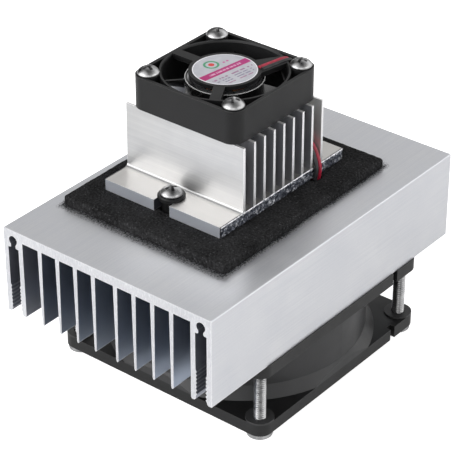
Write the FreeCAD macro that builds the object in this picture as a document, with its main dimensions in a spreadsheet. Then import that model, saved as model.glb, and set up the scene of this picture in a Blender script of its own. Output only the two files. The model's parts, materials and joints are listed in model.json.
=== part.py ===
import FreeCAD, Part
import math
import os
import re

import Sketcher

# Fan-cooled thermoelectric cooling unit, in millimetres. A semiconductor module is clamped between a
# wide finned hot sink with an 80 mm fan below it and a small finned cold sink with a 40 mm fan on top.
# +Z is up, +X goes across the fins of the hot sink and +Y along its extrusion. The origin is the bottom
# centre: the unit stands on the heads of the four screws that hold the large fan.

# Driving sizes. Names that start with hot_ or cold_ belong to the fan on that side.
SIZES = {
    # Hot sink, an extrusion along Y whose fins share the width between its two double side walls
    "sink_length": 118.4, "sink_height": 29.3, "sink_plate": 3.1, "sink_middle_pitch": 8.44,
    "sink_fin_root": 1.5, "sink_fin_tip": 0.75, "sink_tip_bevel": 0.25, "sink_edge_round": 0.4,
    "sink_inner_wall": 1.65, "sink_outer_wall": 1.675,
    # Screw slots in the side walls of the hot sink, toothed near their mouths
    "slot_width": 4.15, "slot_shoulder": 6.0, "slot_lead": 0.5, "tooth_pitch": 1.3, "tooth_depth": 0.5,
    "tooth_first": 0.9, "keyhole_dia": 3.2, "keyhole_drop": 3.5, "keyhole_neck": 1.9, "lip_round": 0.45,
    # Cold sink, an extrusion along X that reaches past the module
    "chill_centre_x": -4.6, "chill_centre_y": 1.6, "chill_overhang": 2.3, "chill_base": 3.7,
    "chill_fin_height": 21.4, "chill_fin_root": 1.1, "chill_fin_tip": 0.85, "chill_root_round": 1.0,
    "chill_screw_inner": 2.14, "chill_screw_outer": 2.78,
    # Clamp screws and their nylon bushes, which seat in notches of the cold sink's flanges
    "clamp_margin": 5.15, "clamp_screw_dia": 4.0, "clamp_head_dia": 6.9, "clamp_head_height": 2.4,
    "clamp_screw_length": 12.0, "clamp_hole_gap": 0.05, "clamp_tip_gap": 0.5,
    "notch_width": 6.0, "notch_edge": 4.6, "bush_gap": 0.05, "bush_flange_dia": 8.4,
    "bush_flange": 1.1, "bush_reach": 0.9, "bush_bore_gap": 0.1,
    # Module between the sinks
    "module_size": 40.0, "module_height": 3.0, "module_plate": 0.65, "module_link": 0.3,
    "module_leg": 1.5, "module_rows": 12, "module_margin": 2.2, "module_seal": 1.0,
    "module_seal_inset": 0.25, "module_lead_dia": 1.3,
    # Foam gasket round the module
    "foam_centre_x": -3.3, "foam_centre_y": 0.4, "foam_width": 61.6, "foam_length": 78.0,
    "foam_window_gap": 0.5, "foam_bush_gap": 0.2, "foam_corner": 0.3,
    "foam_slit_reach": 1.7, "foam_slit_width": 4.0,
    # Large fan
    "hot_size": 80.0, "hot_depth": 25.0, "hot_centre_y": 3.6, "hot_corner": 4.1,
    "hot_hole_inset": 4.25, "hot_hole_dia": 4.3, "hot_flange": 4.0, "hot_side_wall": 1.8,
    "hot_barrel_wall": 1.3, "hot_flare_width": 2.7, "hot_flare_height": 3.6, "hot_mouth": 1.0,
    "hot_ring_dia": 8.8, "hot_ring_height": 0.5,
    "hot_notch_width": 2.2, "hot_notch_depth": 1.9, "hot_notch_offset": 13.1,
    "hot_base_dia": 37.0, "hot_base_thick": 2.4, "hot_struts": 4, "hot_strut_width": 4.5,
    "hot_strut_thick": 3.0, "hot_hub_dia": 36.0, "hot_hub_wall": 1.3, "hot_hub_low": 1.2,
    "hot_hub_round": 2.0, "hot_rotor_gap": 1.6, "hot_cup_wall": 0.9, "hot_magnet_thick": 2.0,
    "hot_magnet_inset": 2.0, "hot_air_gap": 0.5, "hot_shaft_dia": 3.0, "hot_bearing_dia": 6.0,
    "hot_bearing_length": 11.0, "hot_tube_wall": 1.0, "hot_core_length": 8.0, "hot_arm_width": 4.2,
    "hot_coil_build": 1.9, "hot_board": 1.0, "hot_blades": 7, "hot_tip_gap": 0.7,
    "hot_blade_low": 1.4, "hot_blade_thick": 1.3, "hot_blade_root_drop": 1.3,
    "hot_blade_tip_drop": 3.3, "hot_blade_root_run": 13.0, "hot_blade_tip_run": 23.0,
    "hot_blade_bow": 2.2, "hot_pin_gap": 0.5,
    "hot_screw_dia": 3.9, "hot_core_dia": 3.0, "hot_head_dia": 8.0, "hot_head_height": 2.6,
    "hot_screw_grip": 8.0,
    # Small fan
    "cold_size": 40.0, "cold_depth": 10.6, "cold_corner": 4.2, "cold_hole_inset": 4.0,
    "cold_hole_dia": 4.3, "cold_side_wall": 1.3, "cold_barrel_wall": 0.8, "cold_outer_wall": 1.1,
    "cold_boss_dia": 6.8, "cold_mouth": 0.5,
    "cold_base_dia": 21.7, "cold_base_thick": 1.2, "cold_struts": 3, "cold_strut_width": 3.3,
    "cold_strut_thick": 1.6, "cold_hub_dia": 24.0, "cold_hub_wall": 0.8, "cold_hub_low": 0.9,
    "cold_hub_round": 0.9, "cold_rotor_gap": 1.0, "cold_cup_wall": 0.5, "cold_magnet_thick": 1.2,
    "cold_magnet_inset": 0.6, "cold_air_gap": 0.35, "cold_shaft_dia": 2.0, "cold_bearing_dia": 4.5,
    "cold_bearing_length": 4.6, "cold_tube_wall": 0.8, "cold_core_length": 2.6, "cold_arm_width": 2.2,
    "cold_coil_build": 0.7, "cold_board": 0.6, "cold_blades": 7, "cold_tip_gap": 0.5,
    "cold_blade_low": 1.0, "cold_blade_thick": 0.8, "cold_blade_root_drop": 0.6,
    "cold_blade_tip_drop": 1.2, "cold_blade_root_run": 7.0, "cold_blade_tip_run": 11.5,
    "cold_blade_bow": 0.9, "cold_pin_gap": 0.3,
    "cold_screw_dia": 4.0, "cold_core_dia": 3.2, "cold_head_dia": 6.8, "cold_head_height": 2.4,
    "cold_screw_length": 18.0,
    # Label and leads of the small fan. The leads lie in a channel that is turned from the line of the
    # widened strut, lead_aside from the fan's axis, and their feet stand lead_foot_shift from the middle
    # of the gap between the fins.
    "label_dia": 19.5, "label_thick": 0.12, "label_gap": 0.03,
    "lead_dia": 1.35, "lead_spacing": 1.42, "lead_channel_width": 2.95, "lead_channel_depth": 0.8,
    "lead_notch_depth": 2.2, "lead_aside": 6.29, "lead_start": 8.5, "lead_wall": 0.65,
    "lead_rub_gap": 0.05, "lead_foot_shift": 0.8, "lead_foot_spread": 0.95, "lead_bend_run": 2.2,
    "lead_bend_drop": 0.4, "lead_first_drop": 4.0, "lead_fin_drop": 10.0, "lead_fin_run": 2.6,
    "lead_sink_run": 2.4, "lead_sink_rise": 6.5, "lead_lip_run": 0.35, "lead_lip_rise": 0.2,
    # Shared fits
    "head_edge": 0.5, "recess_span": 0.56, "recess_depth": 0.2, "recess_taper": 14.0,
    "bearing_clearance": 0.03, "seat_gap": 0.05, "strut_overlap": 0.4, "gate_overlap": 0.4,
    "clip_thick": 0.4, "clip_width": 0.8, "clip_gap": 0.3,
}

# Counts that set how many features a loop makes
SINK_FINS_A_SIDE = 4
TEETH = 7
CHILL_INNER_FINS_A_SIDE = 3

# Directions round the axis of the small fan, in degrees from +X
LEAD_ANGLE = 78.3


def hole_pitch(side):
    """Distance between the screw holes of one fan."""
    return f"({side}_size - 2*{side}_hole_inset)"


def fan_bore(side):
    """Diameter of the air duct of one fan."""
    return f"({side}_size - 2*{side}_side_wall)"


# Heights above the surface that the unit stands on
FAN_Z = "hot_head_height"
SINK_Z = "hot_head_height + hot_depth"
GAP_Z = SINK_Z + " + sink_height"
CHILL_Z = GAP_Z + " + module_height"
TOP_FAN_Z = CHILL_Z + " + chill_base + chill_fin_height"

# Sizes that follow from others: the slots meet the large fan's holes, the last gap between the small
# sink's fins takes the small fan's screws, and the clamp screws stand clear of the module
SINK_WIDTH = f"({hole_pitch('hot')} + slot_width + 2*sink_outer_wall)"
SINK_WALL_FACE = f"({hole_pitch('hot')}/2 - slot_width/2 - sink_inner_wall)"
SINK_PITCH = f"(({SINK_WALL_FACE} - sink_middle_pitch/2)/{SINK_FINS_A_SIDE})"
CLAMP_Y = "(module_size/2 + clamp_margin)"
CHILL_HALF_WIDTH = f"({CLAMP_Y} + notch_edge)"
CHILL_LENGTH = "(module_size + 2*chill_overhang)"
CHILL_LAST_INNER = f"({hole_pitch('cold')}/2 - chill_screw_inner)"
CHILL_OUTER = f"({hole_pitch('cold')}/2 + chill_screw_outer)"
LEAD_Y = f"(({CHILL_LAST_INNER} + {CHILL_OUTER})/2)"

doc = FreeCAD.newDocument("cooling_unit")
sheet = doc.addObject("Spreadsheet::Sheet", "Sheet")
for row, (alias, number) in enumerate(SIZES.items(), start=1):
    sheet.set(f"A{row}", alias)
    sheet.set(f"B{row}", str(number))
    sheet.setAlias(f"B{row}", alias)
doc.recompute()

parts = []


def tie(expression):
    """Turn the sheet's names in an expression into references to its cells."""
    def cell(match):
        word = match.group(0)
        return "Sheet." + word if word in SIZES else word
    return re.sub(r"[a-z][a-z_]*", cell, expression)


def bind(thing, prop, expression):
    thing.setExpression(prop, tie(expression))


def value(expression):
    return float(sheet.evalExpression(tie(expression)))


def place(thing, x="0", y="0", z="0"):
    for axis, expression in zip("xyz", (x, y, z)):
        bind(thing, f"Placement.Base.{axis}", expression)


def new_body(label, x="0", y="0", z="0"):
    body = doc.addObject("PartDesign::Body", label)
    body.Label = label
    body.AllowCompound = True
    place(body, x, y, z)
    parts.append(body)
    return body


def origin_feature(body, role):
    return next(feature for feature in body.Origin.OriginFeatures if feature.Role == role)


def new_sketch(body, plane, offset="0"):
    sketch = body.newObject("Sketcher::SketchObject", body.Label + "_sketch")
    sketch.AttachmentSupport = (origin_feature(body, plane), [""])
    sketch.MapMode = "FlatFace"
    bind(sketch, "AttachmentOffset.Base.z", offset)
    return sketch


def swing(sketch, degrees):
    """Turn a sketch about the normal of its plane."""
    offset = sketch.AttachmentOffset
    offset.Rotation = FreeCAD.Rotation(FreeCAD.Vector(0, 0, 1), degrees)
    sketch.AttachmentOffset = offset


def outline(sketch, corners):
    """Draw a closed outline. Each corner is (x, y), or (x, y, through_x, through_y) where the edge that
    starts there is an arc through that point. Every coordinate is an expression held by the sketch."""
    points = [FreeCAD.Vector(value(corner[0]), value(corner[1]), 0) for corner in corners]
    geometry = []
    limits = []
    bound = []

    def hold(index, end, x, y, at):
        for kind, expression, number in (("DistanceX", x, at.x), ("DistanceY", y, at.y)):
            bound.append((len(limits), expression))
            limits.append(Sketcher.Constraint(kind, -1, 1, index, end, number))

    arcs = []
    for number, corner in enumerate(corners):
        start = points[number]
        stop = points[(number + 1) % len(corners)]
        if len(corner) == 4:
            middle = FreeCAD.Vector(value(corner[2]), value(corner[3]), 0)
            left_turn = (middle - start).cross(stop - middle).z > 0
            geometry.append(Part.Arc(start, middle, stop) if left_turn else Part.Arc(stop, middle, start))
            arcs.append((number, corner, middle))
        else:
            geometry.append(Part.LineSegment(start, stop))
    edges = sketch.addGeometry(geometry, False)
    # Every arc is drawn counter-clockwise, so its first end may be the far one
    ends = []
    for number, index in enumerate(edges):
        begins = sketch.Geometry[index].StartPoint.distanceToPoint(points[number]) < 1e-6
        ends.append((1, 2) if begins else (2, 1))
    for number, index in enumerate(edges):
        following = (number + 1) % len(edges)
        limits.append(Sketcher.Constraint("Coincident", index, ends[number][1],
                                          edges[following], ends[following][0]))
        hold(index, ends[number][0], corners[number][0], corners[number][1], points[number])
    for number, corner, middle in arcs:
        helper = sketch.addGeometry(Part.Point(middle), True)
        hold(helper, 1, corner[2], corner[3], middle)
        limits.append(Sketcher.Constraint("PointOnObject", helper, 1, edges[number]))
    before = sketch.ConstraintCount
    sketch.addConstraint(limits)
    for number, expression in bound:
        if re.search(r"[a-z]", expression):
            bind(sketch, f"Constraints[{before + number}]", expression)


def circle(sketch, x, y, radius):
    at = FreeCAD.Vector(value(x), value(y), 0)
    index = sketch.addGeometry(Part.Circle(at, FreeCAD.Vector(0, 0, 1), value(radius)), False)
    for kind, expression, number in (("DistanceX", x, at.x), ("DistanceY", y, at.y)):
        held = sketch.addConstraint(Sketcher.Constraint(kind, -1, 1, index, 3, number))
        if re.search(r"[a-z]", expression):
            bind(sketch, f"Constraints[{held}]", expression)
    size = sketch.addConstraint(Sketcher.Constraint("Radius", index, value(radius)))
    bind(sketch, f"Constraints[{size}]", radius)


def rectangle(sketch, left, right, low, high):
    outline(sketch, [(left, low), (right, low), (right, high), (left, high)])


def rounded_square(sketch, side, radius):
    """A square about the origin with round corners."""
    half = f"({side})/2"
    flat = f"({half} - {radius})"
    bend = f"({half} - {radius}*(1 - sqrt(0.5)))"
    outline(sketch, [
        (flat, "-" + half, bend, "-" + bend), (half, "-" + flat),
        (half, flat, bend, bend), (flat, half),
        ("-" + flat, half, "-" + bend, bend), ("-" + half, flat),
        ("-" + half, "-" + flat, "-" + bend, "-" + bend), ("-" + flat, "-" + half)])


def feature(body, kind, sketch=None):
    made = body.newObject("PartDesign::" + kind, f"{body.Label}_{kind.lower()}")
    if sketch is not None:
        made.Profile = sketch
    body.Tip = made
    return made


def pad(body, sketch, length, symmetric=False):
    made = feature(body, "Pad", sketch)
    bind(made, "Length", length)
    if symmetric:
        made.SideType = "Symmetric"
    return made


def pocket(body, sketch, depth, symmetric=False, upwards=False):
    made = feature(body, "Pocket", sketch)
    bind(made, "Length", depth)
    made.Reversed = upwards
    if symmetric:
        made.SideType = "Symmetric"
    return made


def turn(body, sketch, kind="Revolution"):
    """A full turn of a sketch on the XZ plane about the body's own Z axis."""
    made = feature(body, kind, sketch)
    made.ReferenceAxis = (sketch, ["V_Axis"])
    made.Angle = 360
    return made


def polar(body, originals, count):
    made = feature(body, "PolarPattern")
    made.Originals = originals
    made.Axis = (origin_feature(body, "Z_Axis"), [""])
    made.Angle = 360
    bind(made, "Occurrences", count)
    return made


def plain_part(label, shape):
    """A sub-part whose shape is set here, because no sketch or primitive fits it."""
    made = doc.addObject("Part::Feature", label)
    made.Label = label
    made.Shape = shape
    parts.append(made)
    return made


def mirrored(corners):
    """The same outline on the other side of the vertical axis of its sketch."""
    return [(f"-({x})", y) for x, y in reversed(corners)]


# Hot sink

def fin_centre(index):
    """Distance from the middle to a fin of the hot sink, counted outwards from 0."""
    return f"sink_middle_pitch/2 + {index}*{SINK_PITCH}"


def air_channel(left_tip, left_root, right_root, right_tip):
    """Outline of the gap between two tapered fins with bevelled tips."""
    roof = "sink_height - sink_plate"
    return [(left_tip + " - sink_tip_bevel", "0"), (right_tip + " + sink_tip_bevel", "0"),
            (right_tip, "2*sink_tip_bevel"), (right_root, roof), (left_root, roof),
            (left_tip, "2*sink_tip_bevel")]


def screw_slot():
    """Outline of the slot in a side wall: toothed walls, rounded lips and a round screw channel."""
    centre = hole_pitch("hot") + "/2"
    half = "slot_width/2"
    neck = "keyhole_neck/2"
    shoulder = "sink_height - slot_shoulder"
    eye = "sink_height - keyhole_drop"
    meet = eye + " - sqrt(keyhole_dia^2 - keyhole_neck^2)/2"
    bend = "lip_round*(1 - sqrt(0.5))"
    right = [(half + " + slot_lead", "0"), (half, "slot_lead")]
    left = [("-(" + half + " + slot_lead)", "0"), ("-" + half, "slot_lead")]
    for tooth in range(TEETH):
        crest = f"tooth_first + {tooth + 0.5}*tooth_pitch"
        right.append((half, f"tooth_first + {tooth}*tooth_pitch"))
        right.append((half + " - tooth_depth", crest))
        left.append(("-" + half, f"tooth_first + {tooth + 0.5}*tooth_pitch"))
        left.append(("-(" + half + " - tooth_depth)", f"tooth_first + {tooth + 1}*tooth_pitch"))
    right.append((half, f"tooth_first + {TEETH}*tooth_pitch"))
    left.append(("-" + half, f"tooth_first + {TEETH + 0.5}*tooth_pitch"))
    right += [(half, shoulder),
              (neck + " + lip_round", shoulder, f"{neck} + {bend}", f"{shoulder} + {bend}"),
              (neck, shoulder + " + lip_round"), (neck, meet, "0", eye + " + keyhole_dia/2")]
    left += [("-" + half, shoulder), (f"-({neck} + lip_round)", shoulder)]
    over = [("-" + neck, meet),
            ("-" + neck, shoulder + " + lip_round", f"-({neck} + {bend})", f"{shoulder} + {bend}")]
    corners = right + over + left[::-1]
    return [tuple(f"{centre} + {part}" if place_of % 2 == 0 else part
                  for place_of, part in enumerate(corner)) for corner in corners]


def hot_sink():
    body = new_body("hot_sink", z=SINK_Z)
    block = new_sketch(body, "XZ_Plane")
    half = SINK_WIDTH + "/2"
    bend = "sink_edge_round*(1 - sqrt(0.5))"
    outline(block, [
        ("-" + half, "0"), (half, "0"),
        (half, "sink_height - sink_edge_round", f"{half} - {bend}", f"sink_height - {bend}"),
        (half + " - sink_edge_round", "sink_height"),
        (f"-({half} - sink_edge_round)", "sink_height", f"-({half} - {bend})", f"sink_height - {bend}"),
        ("-" + half, "sink_height - sink_edge_round")])
    pad(body, block, "sink_length", symmetric=True)

    channels = new_sketch(body, "XZ_Plane")
    tip, root = "sink_fin_tip/2", "sink_fin_root/2"
    first = fin_centre(0)
    outline(channels, air_channel(f"-({first} - {tip})", f"-({first} - {root})",
                                  f"{first} - {root}", f"{first} - {tip}"))
    side = []
    for fin in range(SINK_FINS_A_SIDE - 1):
        near, far = fin_centre(fin), fin_centre(fin + 1)
        side.append(air_channel(f"{near} + {tip}", f"{near} + {root}", f"{far} - {root}", f"{far} - {tip}"))
    last = fin_centre(SINK_FINS_A_SIDE - 1)
    side.append(air_channel(f"{last} + {tip}", f"{last} + {root}", SINK_WALL_FACE, SINK_WALL_FACE))
    for corners in side:
        outline(channels, corners)
        outline(channels, mirrored(corners))
    pocket(body, channels, "2*sink_length", symmetric=True)

    slots = new_sketch(body, "XZ_Plane")
    outline(slots, screw_slot())
    cut = pocket(body, slots, "2*sink_length", symmetric=True)
    other = feature(body, "Mirrored")
    other.Originals = [cut]
    other.MirrorPlane = (origin_feature(body, "YZ_Plane"), [""])

    # Tapped holes for the clamp screws, which reach into the root of the fin below them
    holes = new_sketch(body, "XY_Plane", "sink_height")
    for sign in ("+", "-"):
        circle(holes, "chill_centre_x", f"chill_centre_y {sign} {CLAMP_Y}",
               "clamp_screw_dia/2 + clamp_hole_gap")
    pocket(body, holes, "clamp_screw_length - bush_flange - chill_base - module_height + clamp_tip_gap")


# Cold sink

def cold_sink():
    body = new_body("cold_sink", "chill_centre_x", "chill_centre_y", CHILL_Z)
    profile = new_sketch(body, "YZ_Plane")
    top = "chill_base + chill_fin_height"
    root, tip = "chill_fin_root/2", "chill_fin_tip/2"
    outer = CHILL_OUTER
    bend = "chill_root_round*(1 - sqrt(0.5))"
    centres = [f"{step}*{CHILL_LAST_INNER}/{CHILL_INNER_FINS_A_SIDE}"
               for step in range(CHILL_INNER_FINS_A_SIDE, 0, -1)]
    right = [(CHILL_HALF_WIDTH, "0"), (CHILL_HALF_WIDTH, "chill_base")]
    foot = f"({outer} + {root})"
    right.append((f"{foot} + chill_root_round", "chill_base", f"{foot} + {bend}", f"chill_base + {bend}"))
    right.append((foot, "chill_base + chill_root_round"))
    right += [(f"{outer} + {tip}", top), (f"{outer} - {tip}", top), (f"{outer} - {root}", "chill_base")]
    for centre in centres:
        right += [(f"{centre} + {root}", "chill_base"), (f"{centre} + {tip}", top),
                  (f"{centre} - {tip}", top), (f"{centre} - {root}", "chill_base")]
    middle = [(root, "chill_base"), (tip, top), (f"-{tip}", top), (f"-{root}", "chill_base")]
    plain = [corner[:2] for corner in right]
    left = [(f"-({x})", z) for x, z in reversed(plain)]
    # On the left the outline runs from the foot of the outer fin out to the flange
    start = len(left) - 4
    left[start] += (f"-({foot} + {bend})", f"chill_base + {bend}")
    outline(profile, right + middle + left)
    pad(body, profile, CHILL_LENGTH, symmetric=True)

    notches = new_sketch(body, "XY_Plane")
    half = "notch_width/2"
    screw = CLAMP_Y
    edge = CHILL_HALF_WIDTH + " + notch_edge"
    outline(notches, [("-" + half, edge), ("-" + half, screw, "0", f"{screw} - {half}"),
                      (half, screw), (half, edge)])
    cut = pocket(body, notches, "chill_base", upwards=True)
    polar(body, [cut], "2")


# Fasteners

def pan_head(head_dia, head_height, screw_dia, length, core_dia=None, core_from=None):
    """Half outline of a domed screw about the vertical axis, with its head above the origin. Past
    core_from it is drawn at its core, where its thread bites into what it is driven into."""
    rise = f"({head_height} - head_edge)"
    dome = f"({rise}^2 + {head_dia}^2/4)/(2*{rise})"
    part_way = f"{head_height} - {dome} + sqrt(({dome})^2 - ({head_dia}/4)^2)"
    end_dia = core_dia or screw_dia
    bevel = f"{end_dia}/4"
    corners = [("0", f"-({length})"), (f"{end_dia}/2 - {bevel}", f"-({length})"),
               (f"{end_dia}/2", f"-({length} - {bevel})")]
    if core_dia:
        corners += [(f"{core_dia}/2", f"-({core_from})"),
                    (f"{screw_dia}/2", f"-({core_from} - ({screw_dia} - {core_dia})/2)")]
    corners += [(f"{screw_dia}/2", "0"), (f"{head_dia}/2", "0"),
                (f"{head_dia}/2", "head_edge", f"{head_dia}/4", part_way), ("0", head_height)]
    return corners


def upside_down(corners):
    """The same outline with its head below the origin."""
    return [tuple(part if number % 2 == 0 else f"-({part})" for number, part in enumerate(corner))
            for corner in corners]


def upright_axis(sketch, x, height):
    """Add an upright construction line to turn an outline about, and return its name."""
    at = value(x)
    line = Part.LineSegment(FreeCAD.Vector(at, 0, 0), FreeCAD.Vector(at, height, 0))
    index = sketch.addGeometry(line, True)
    sketch.addConstraint(Sketcher.Constraint("Vertical", index))
    held = sketch.addConstraint(Sketcher.Constraint("DistanceX", -1, 1, index, 1, at))
    bind(sketch, f"Constraints[{held}]", x)
    sketch.addConstraint(Sketcher.Constraint("DistanceY", -1, 1, index, 1, 0))
    sketch.addConstraint(Sketcher.Constraint("DistanceY", index, 1, index, 2, height))
    return "Axis0"


def turned_at(body, corners, along, aside):
    """Turn one outline about an upright line beside the body's own axis."""
    sketch = new_sketch(body, "XZ_Plane", f"-({aside})")
    axis = upright_axis(sketch, along, 5)
    outline(sketch, [tuple(f"({along}) + {part}" if number % 2 == 0 else part
                           for number, part in enumerate(corner)) for corner in corners])
    made = feature(body, "Revolution", sketch)
    made.ReferenceAxis = (sketch, [axis])
    made.Angle = 360
    return made


def cross_recess(body, along, aside, height, head_dia, below=False):
    """Cross-shaped driver recess that narrows towards its bottom."""
    sketch = new_sketch(body, "XY_Plane", height)
    long, short = f"{head_dia}*recess_span/2", f"{head_dia}*recess_span*0.17"
    turns = [(long, short), (short, short), (short, long)]
    corners = turns + [(f"-({x})", y) for x, y in turns[::-1]]
    corners += [(f"-({x})", f"-({y})") for x, y in turns]
    corners += [(x, f"-({y})") for x, y in turns[::-1]]
    outline(sketch, [(f"{along} + {x}", f"{aside} + {y}") for x, y in corners])
    cut = pocket(body, sketch, f"{head_dia}*recess_depth", upwards=below)
    bind(cut, "TaperAngle", "-recess_taper")
    return cut


def clamp_bushes():
    body = new_body("clamp_bushes", "chill_centre_x", "chill_centre_y", CHILL_Z + " + chill_base")
    bore = "clamp_screw_dia/2 + bush_bore_gap"
    shank = "notch_width/2 - bush_gap"
    rim = "bush_flange_dia/2"
    bush = turned_at(body, [
        (bore, "-(chill_base + bush_reach)"), (shank, "-(chill_base + bush_reach)"), (shank, "0"),
        (rim, "0"), (rim, "bush_flange - head_edge/2"), (f"{rim} - head_edge/2", "bush_flange"),
        (bore, "bush_flange")], "0", CLAMP_Y)
    polar(body, [bush], "2")


def clamp_screws():
    body = new_body("clamp_screws", "chill_centre_x", "chill_centre_y",
                    CHILL_Z + " + chill_base + bush_flange")
    screw = turned_at(body, pan_head("clamp_head_dia", "clamp_head_height", "clamp_screw_dia",
                                     "clamp_screw_length"), "0", CLAMP_Y)
    recess = cross_recess(body, "0", CLAMP_Y, "clamp_head_height", "clamp_head_dia")
    polar(body, [screw, recess], "2")


def cold_fan_screws():
    body = new_body("cold_fan_screws", "chill_centre_x", "chill_centre_y", TOP_FAN_Z + " + cold_depth")
    corner = hole_pitch("cold") + "/2"
    screw = turned_at(body, pan_head("cold_head_dia", "cold_head_height", "cold_screw_dia",
                                     "cold_screw_length", "cold_core_dia", "cold_depth"),
                      corner, corner)
    recess = cross_recess(body, corner, corner, "cold_head_height", "cold_head_dia")
    polar(body, [screw, recess], "4")


def hot_fan_screws():
    body = new_body("hot_fan_screws", "0", "hot_centre_y", FAN_Z)
    corner = hole_pitch("hot") + "/2"
    screw = turned_at(body, upside_down(pan_head("hot_head_dia", "hot_head_height", "hot_screw_dia",
                                                 "hot_depth + hot_screw_grip", "hot_core_dia",
                                                 "hot_depth")), corner, corner)
    recess = cross_recess(body, corner, corner, "-hot_head_height", "hot_head_dia", below=True)
    polar(body, [screw, recess], "4")


# Module between the sinks

def module_plates():
    for label, height in (("module_hot_plate", GAP_Z),
                          ("module_cold_plate", CHILL_Z + " - module_plate")):
        plate = doc.addObject("Part::Box", label)
        plate.Label = label
        bind(plate, "Length", "module_size")
        bind(plate, "Width", "module_size")
        bind(plate, "Height", "module_plate")
        place(plate, "chill_centre_x - module_size/2", "chill_centre_y - module_size/2", height)
        parts.append(plate)


def module_seal():
    body = new_body("module_seal", "chill_centre_x", "chill_centre_y", GAP_Z + " + module_plate")
    sketch = new_sketch(body, "XY_Plane")
    outer = "(module_size/2 - module_seal_inset)"
    inner = f"({outer} - module_seal)"
    for half in (outer, inner):
        rectangle(sketch, "-" + half, half, "-" + half, half)
    pad(body, sketch, "module_height - 2*module_plate")


def boxes(spans, low, high):
    """Compound of upright boxes, each given as its x and y ranges."""
    solids = []
    for x0, x1, y0, y1 in spans:
        solids.append(Part.makeBox(x1 - x0, y1 - y0, high - low, FreeCAD.Vector(x0, y0, low)))
    return Part.makeCompound(solids)


def module_couples():
    """Legs on a square grid, joined in one snaking series by links on alternate plates."""
    rows = int(value("module_rows"))
    leg = value("module_leg")
    reach = value("module_size/2 - module_margin") - leg / 2
    pitch = 2 * reach / (rows - 1)
    centre_x, centre_y = value("chill_centre_x"), value("chill_centre_y")
    path = []
    for row in range(rows):
        columns = range(rows) if row % 2 == 0 else range(rows - 1, -1, -1)
        path += [(column, row) for column in columns]
    # The two ends of the series are where the leads join, so no leg stands there
    path = path[1:-1]

    def leg_span(column, row):
        x = centre_x - reach + column * pitch
        y = centre_y - reach + row * pitch
        return [x - leg / 2, x + leg / 2, y - leg / 2, y + leg / 2]

    def link_span(one, two):
        a, b = leg_span(*one), leg_span(*two)
        return [min(a[0], b[0]), max(a[1], b[1]), min(a[2], b[2]), max(a[3], b[3])]

    bottom = value(GAP_Z + " + module_plate")
    top = value(CHILL_Z + " - module_plate")
    link = value("module_link")
    legs = [leg_span(*spot) for spot in path]
    cold = [link_span(path[n], path[n + 1]) for n in range(0, len(path) - 1, 2)]
    hot = [link_span(path[n], path[n + 1]) for n in range(1, len(path) - 1, 2)]
    hot = [leg_span(*path[0])] + hot + [leg_span(*path[-1])]
    plain_part("module_legs", boxes(legs, bottom + link, top - link))
    plain_part("module_cold_links", boxes(cold, top - link, top))
    plain_part("module_hot_links", boxes(hot, bottom, bottom + link))


def foam_gasket():
    body = new_body("foam_gasket", "foam_centre_x", "foam_centre_y", GAP_Z)
    sheet_outline = new_sketch(body, "XY_Plane")
    x, y, cut = "foam_width/2", "foam_length/2", "foam_corner"
    outline(sheet_outline, [
        (f"-({x} - {cut})", "-" + y), (f"{x} - {cut}", "-" + y), (x, f"-({y} - {cut})"),
        (x, f"{y} - {cut}"), (f"{x} - {cut}", y), (f"-({x} - {cut})", y),
        ("-" + x, f"{y} - {cut}"), ("-" + x, f"-({y} - {cut})")])
    pad(body, sheet_outline, "module_height")

    # A window for the module, with a slit beside it where the leads go down
    shift_x = "(chill_centre_x - foam_centre_x)"
    shift_y = "(chill_centre_y - foam_centre_y)"
    window = "(module_size/2 + foam_window_gap)"
    left, right = f"{shift_x} - {window}", f"{shift_x} + {window}"
    near, far = f"{shift_y} - {window}", f"{shift_y} + {window}"
    slit_x = f"{shift_x} + {CHILL_LENGTH}/2 + foam_slit_reach"
    slit_near = f"{shift_y} + {LEAD_Y} - lead_foot_shift - foam_slit_width/2"
    slit_far = f"{shift_y} + {LEAD_Y} - lead_foot_shift + foam_slit_width/2"
    openings = new_sketch(body, "XY_Plane")
    outline(openings, [(left, near), (right, near), (right, slit_near), (slit_x, slit_near),
                       (slit_x, slit_far), (right, slit_far), (right, far), (left, far)])
    for sign in ("+", "-"):
        circle(openings, shift_x, f"{shift_y} {sign} {CLAMP_Y}", "notch_width/2 + foam_bush_gap")
    pocket(body, openings, "module_height", upwards=True)


# Fans. Both stand with the intake below and the motor base and its struts on top.

class FanSizes:
    """Expressions for one fan's inner sizes, from its intake face upwards."""

    def __init__(self, side):
        self.side = side
        self.base_low = f"{side}_depth - {side}_base_thick"
        self.rim_top = f"{self.base_low} - {side}_rotor_gap"
        self.hub_floor = f"{side}_hub_low + {side}_hub_wall"
        self.cup_floor = f"{self.hub_floor} + {side}_cup_wall"
        self.hub_bore = f"{side}_hub_dia/2 - {side}_hub_wall"
        self.cup_outer = f"{self.hub_bore} - seat_gap"
        self.cup_bore = f"{self.cup_outer} - {side}_cup_wall"
        self.magnet_outer = f"{self.cup_bore} - seat_gap"
        self.magnet_bore = f"{self.magnet_outer} - {side}_magnet_thick"
        self.core_outer = f"{self.magnet_bore} - {side}_air_gap"
        self.tube_outer = f"{side}_bearing_dia/2 + {side}_tube_wall"
        self.core_bore = f"{self.tube_outer} + seat_gap"
        self.middle = f"({self.cup_floor} + {self.rim_top})/2"
        self.bearing_top = f"{self.base_low} - clip_gap"
        self.clip_low = f"{self.bearing_top} + clip_gap"
        self.bore = fan_bore(side) + "/2"
        self.tip_radius = f"{self.bore} - {side}_tip_gap"
        self.blade_ceiling = f"({side}_depth - {side}_strut_thick - {side}_blade_low - {side}_blade_thick)"
        self.tube_low = f"{self.bearing_top} - {side}_bearing_length - {side}_pin_gap"
        self.arm = f"{side}_arm_width"


FAN_PLACE = {"hot": ("0", "hot_centre_y", FAN_Z),
             "cold": ("chill_centre_x", "chill_centre_y", TOP_FAN_Z)}


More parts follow.
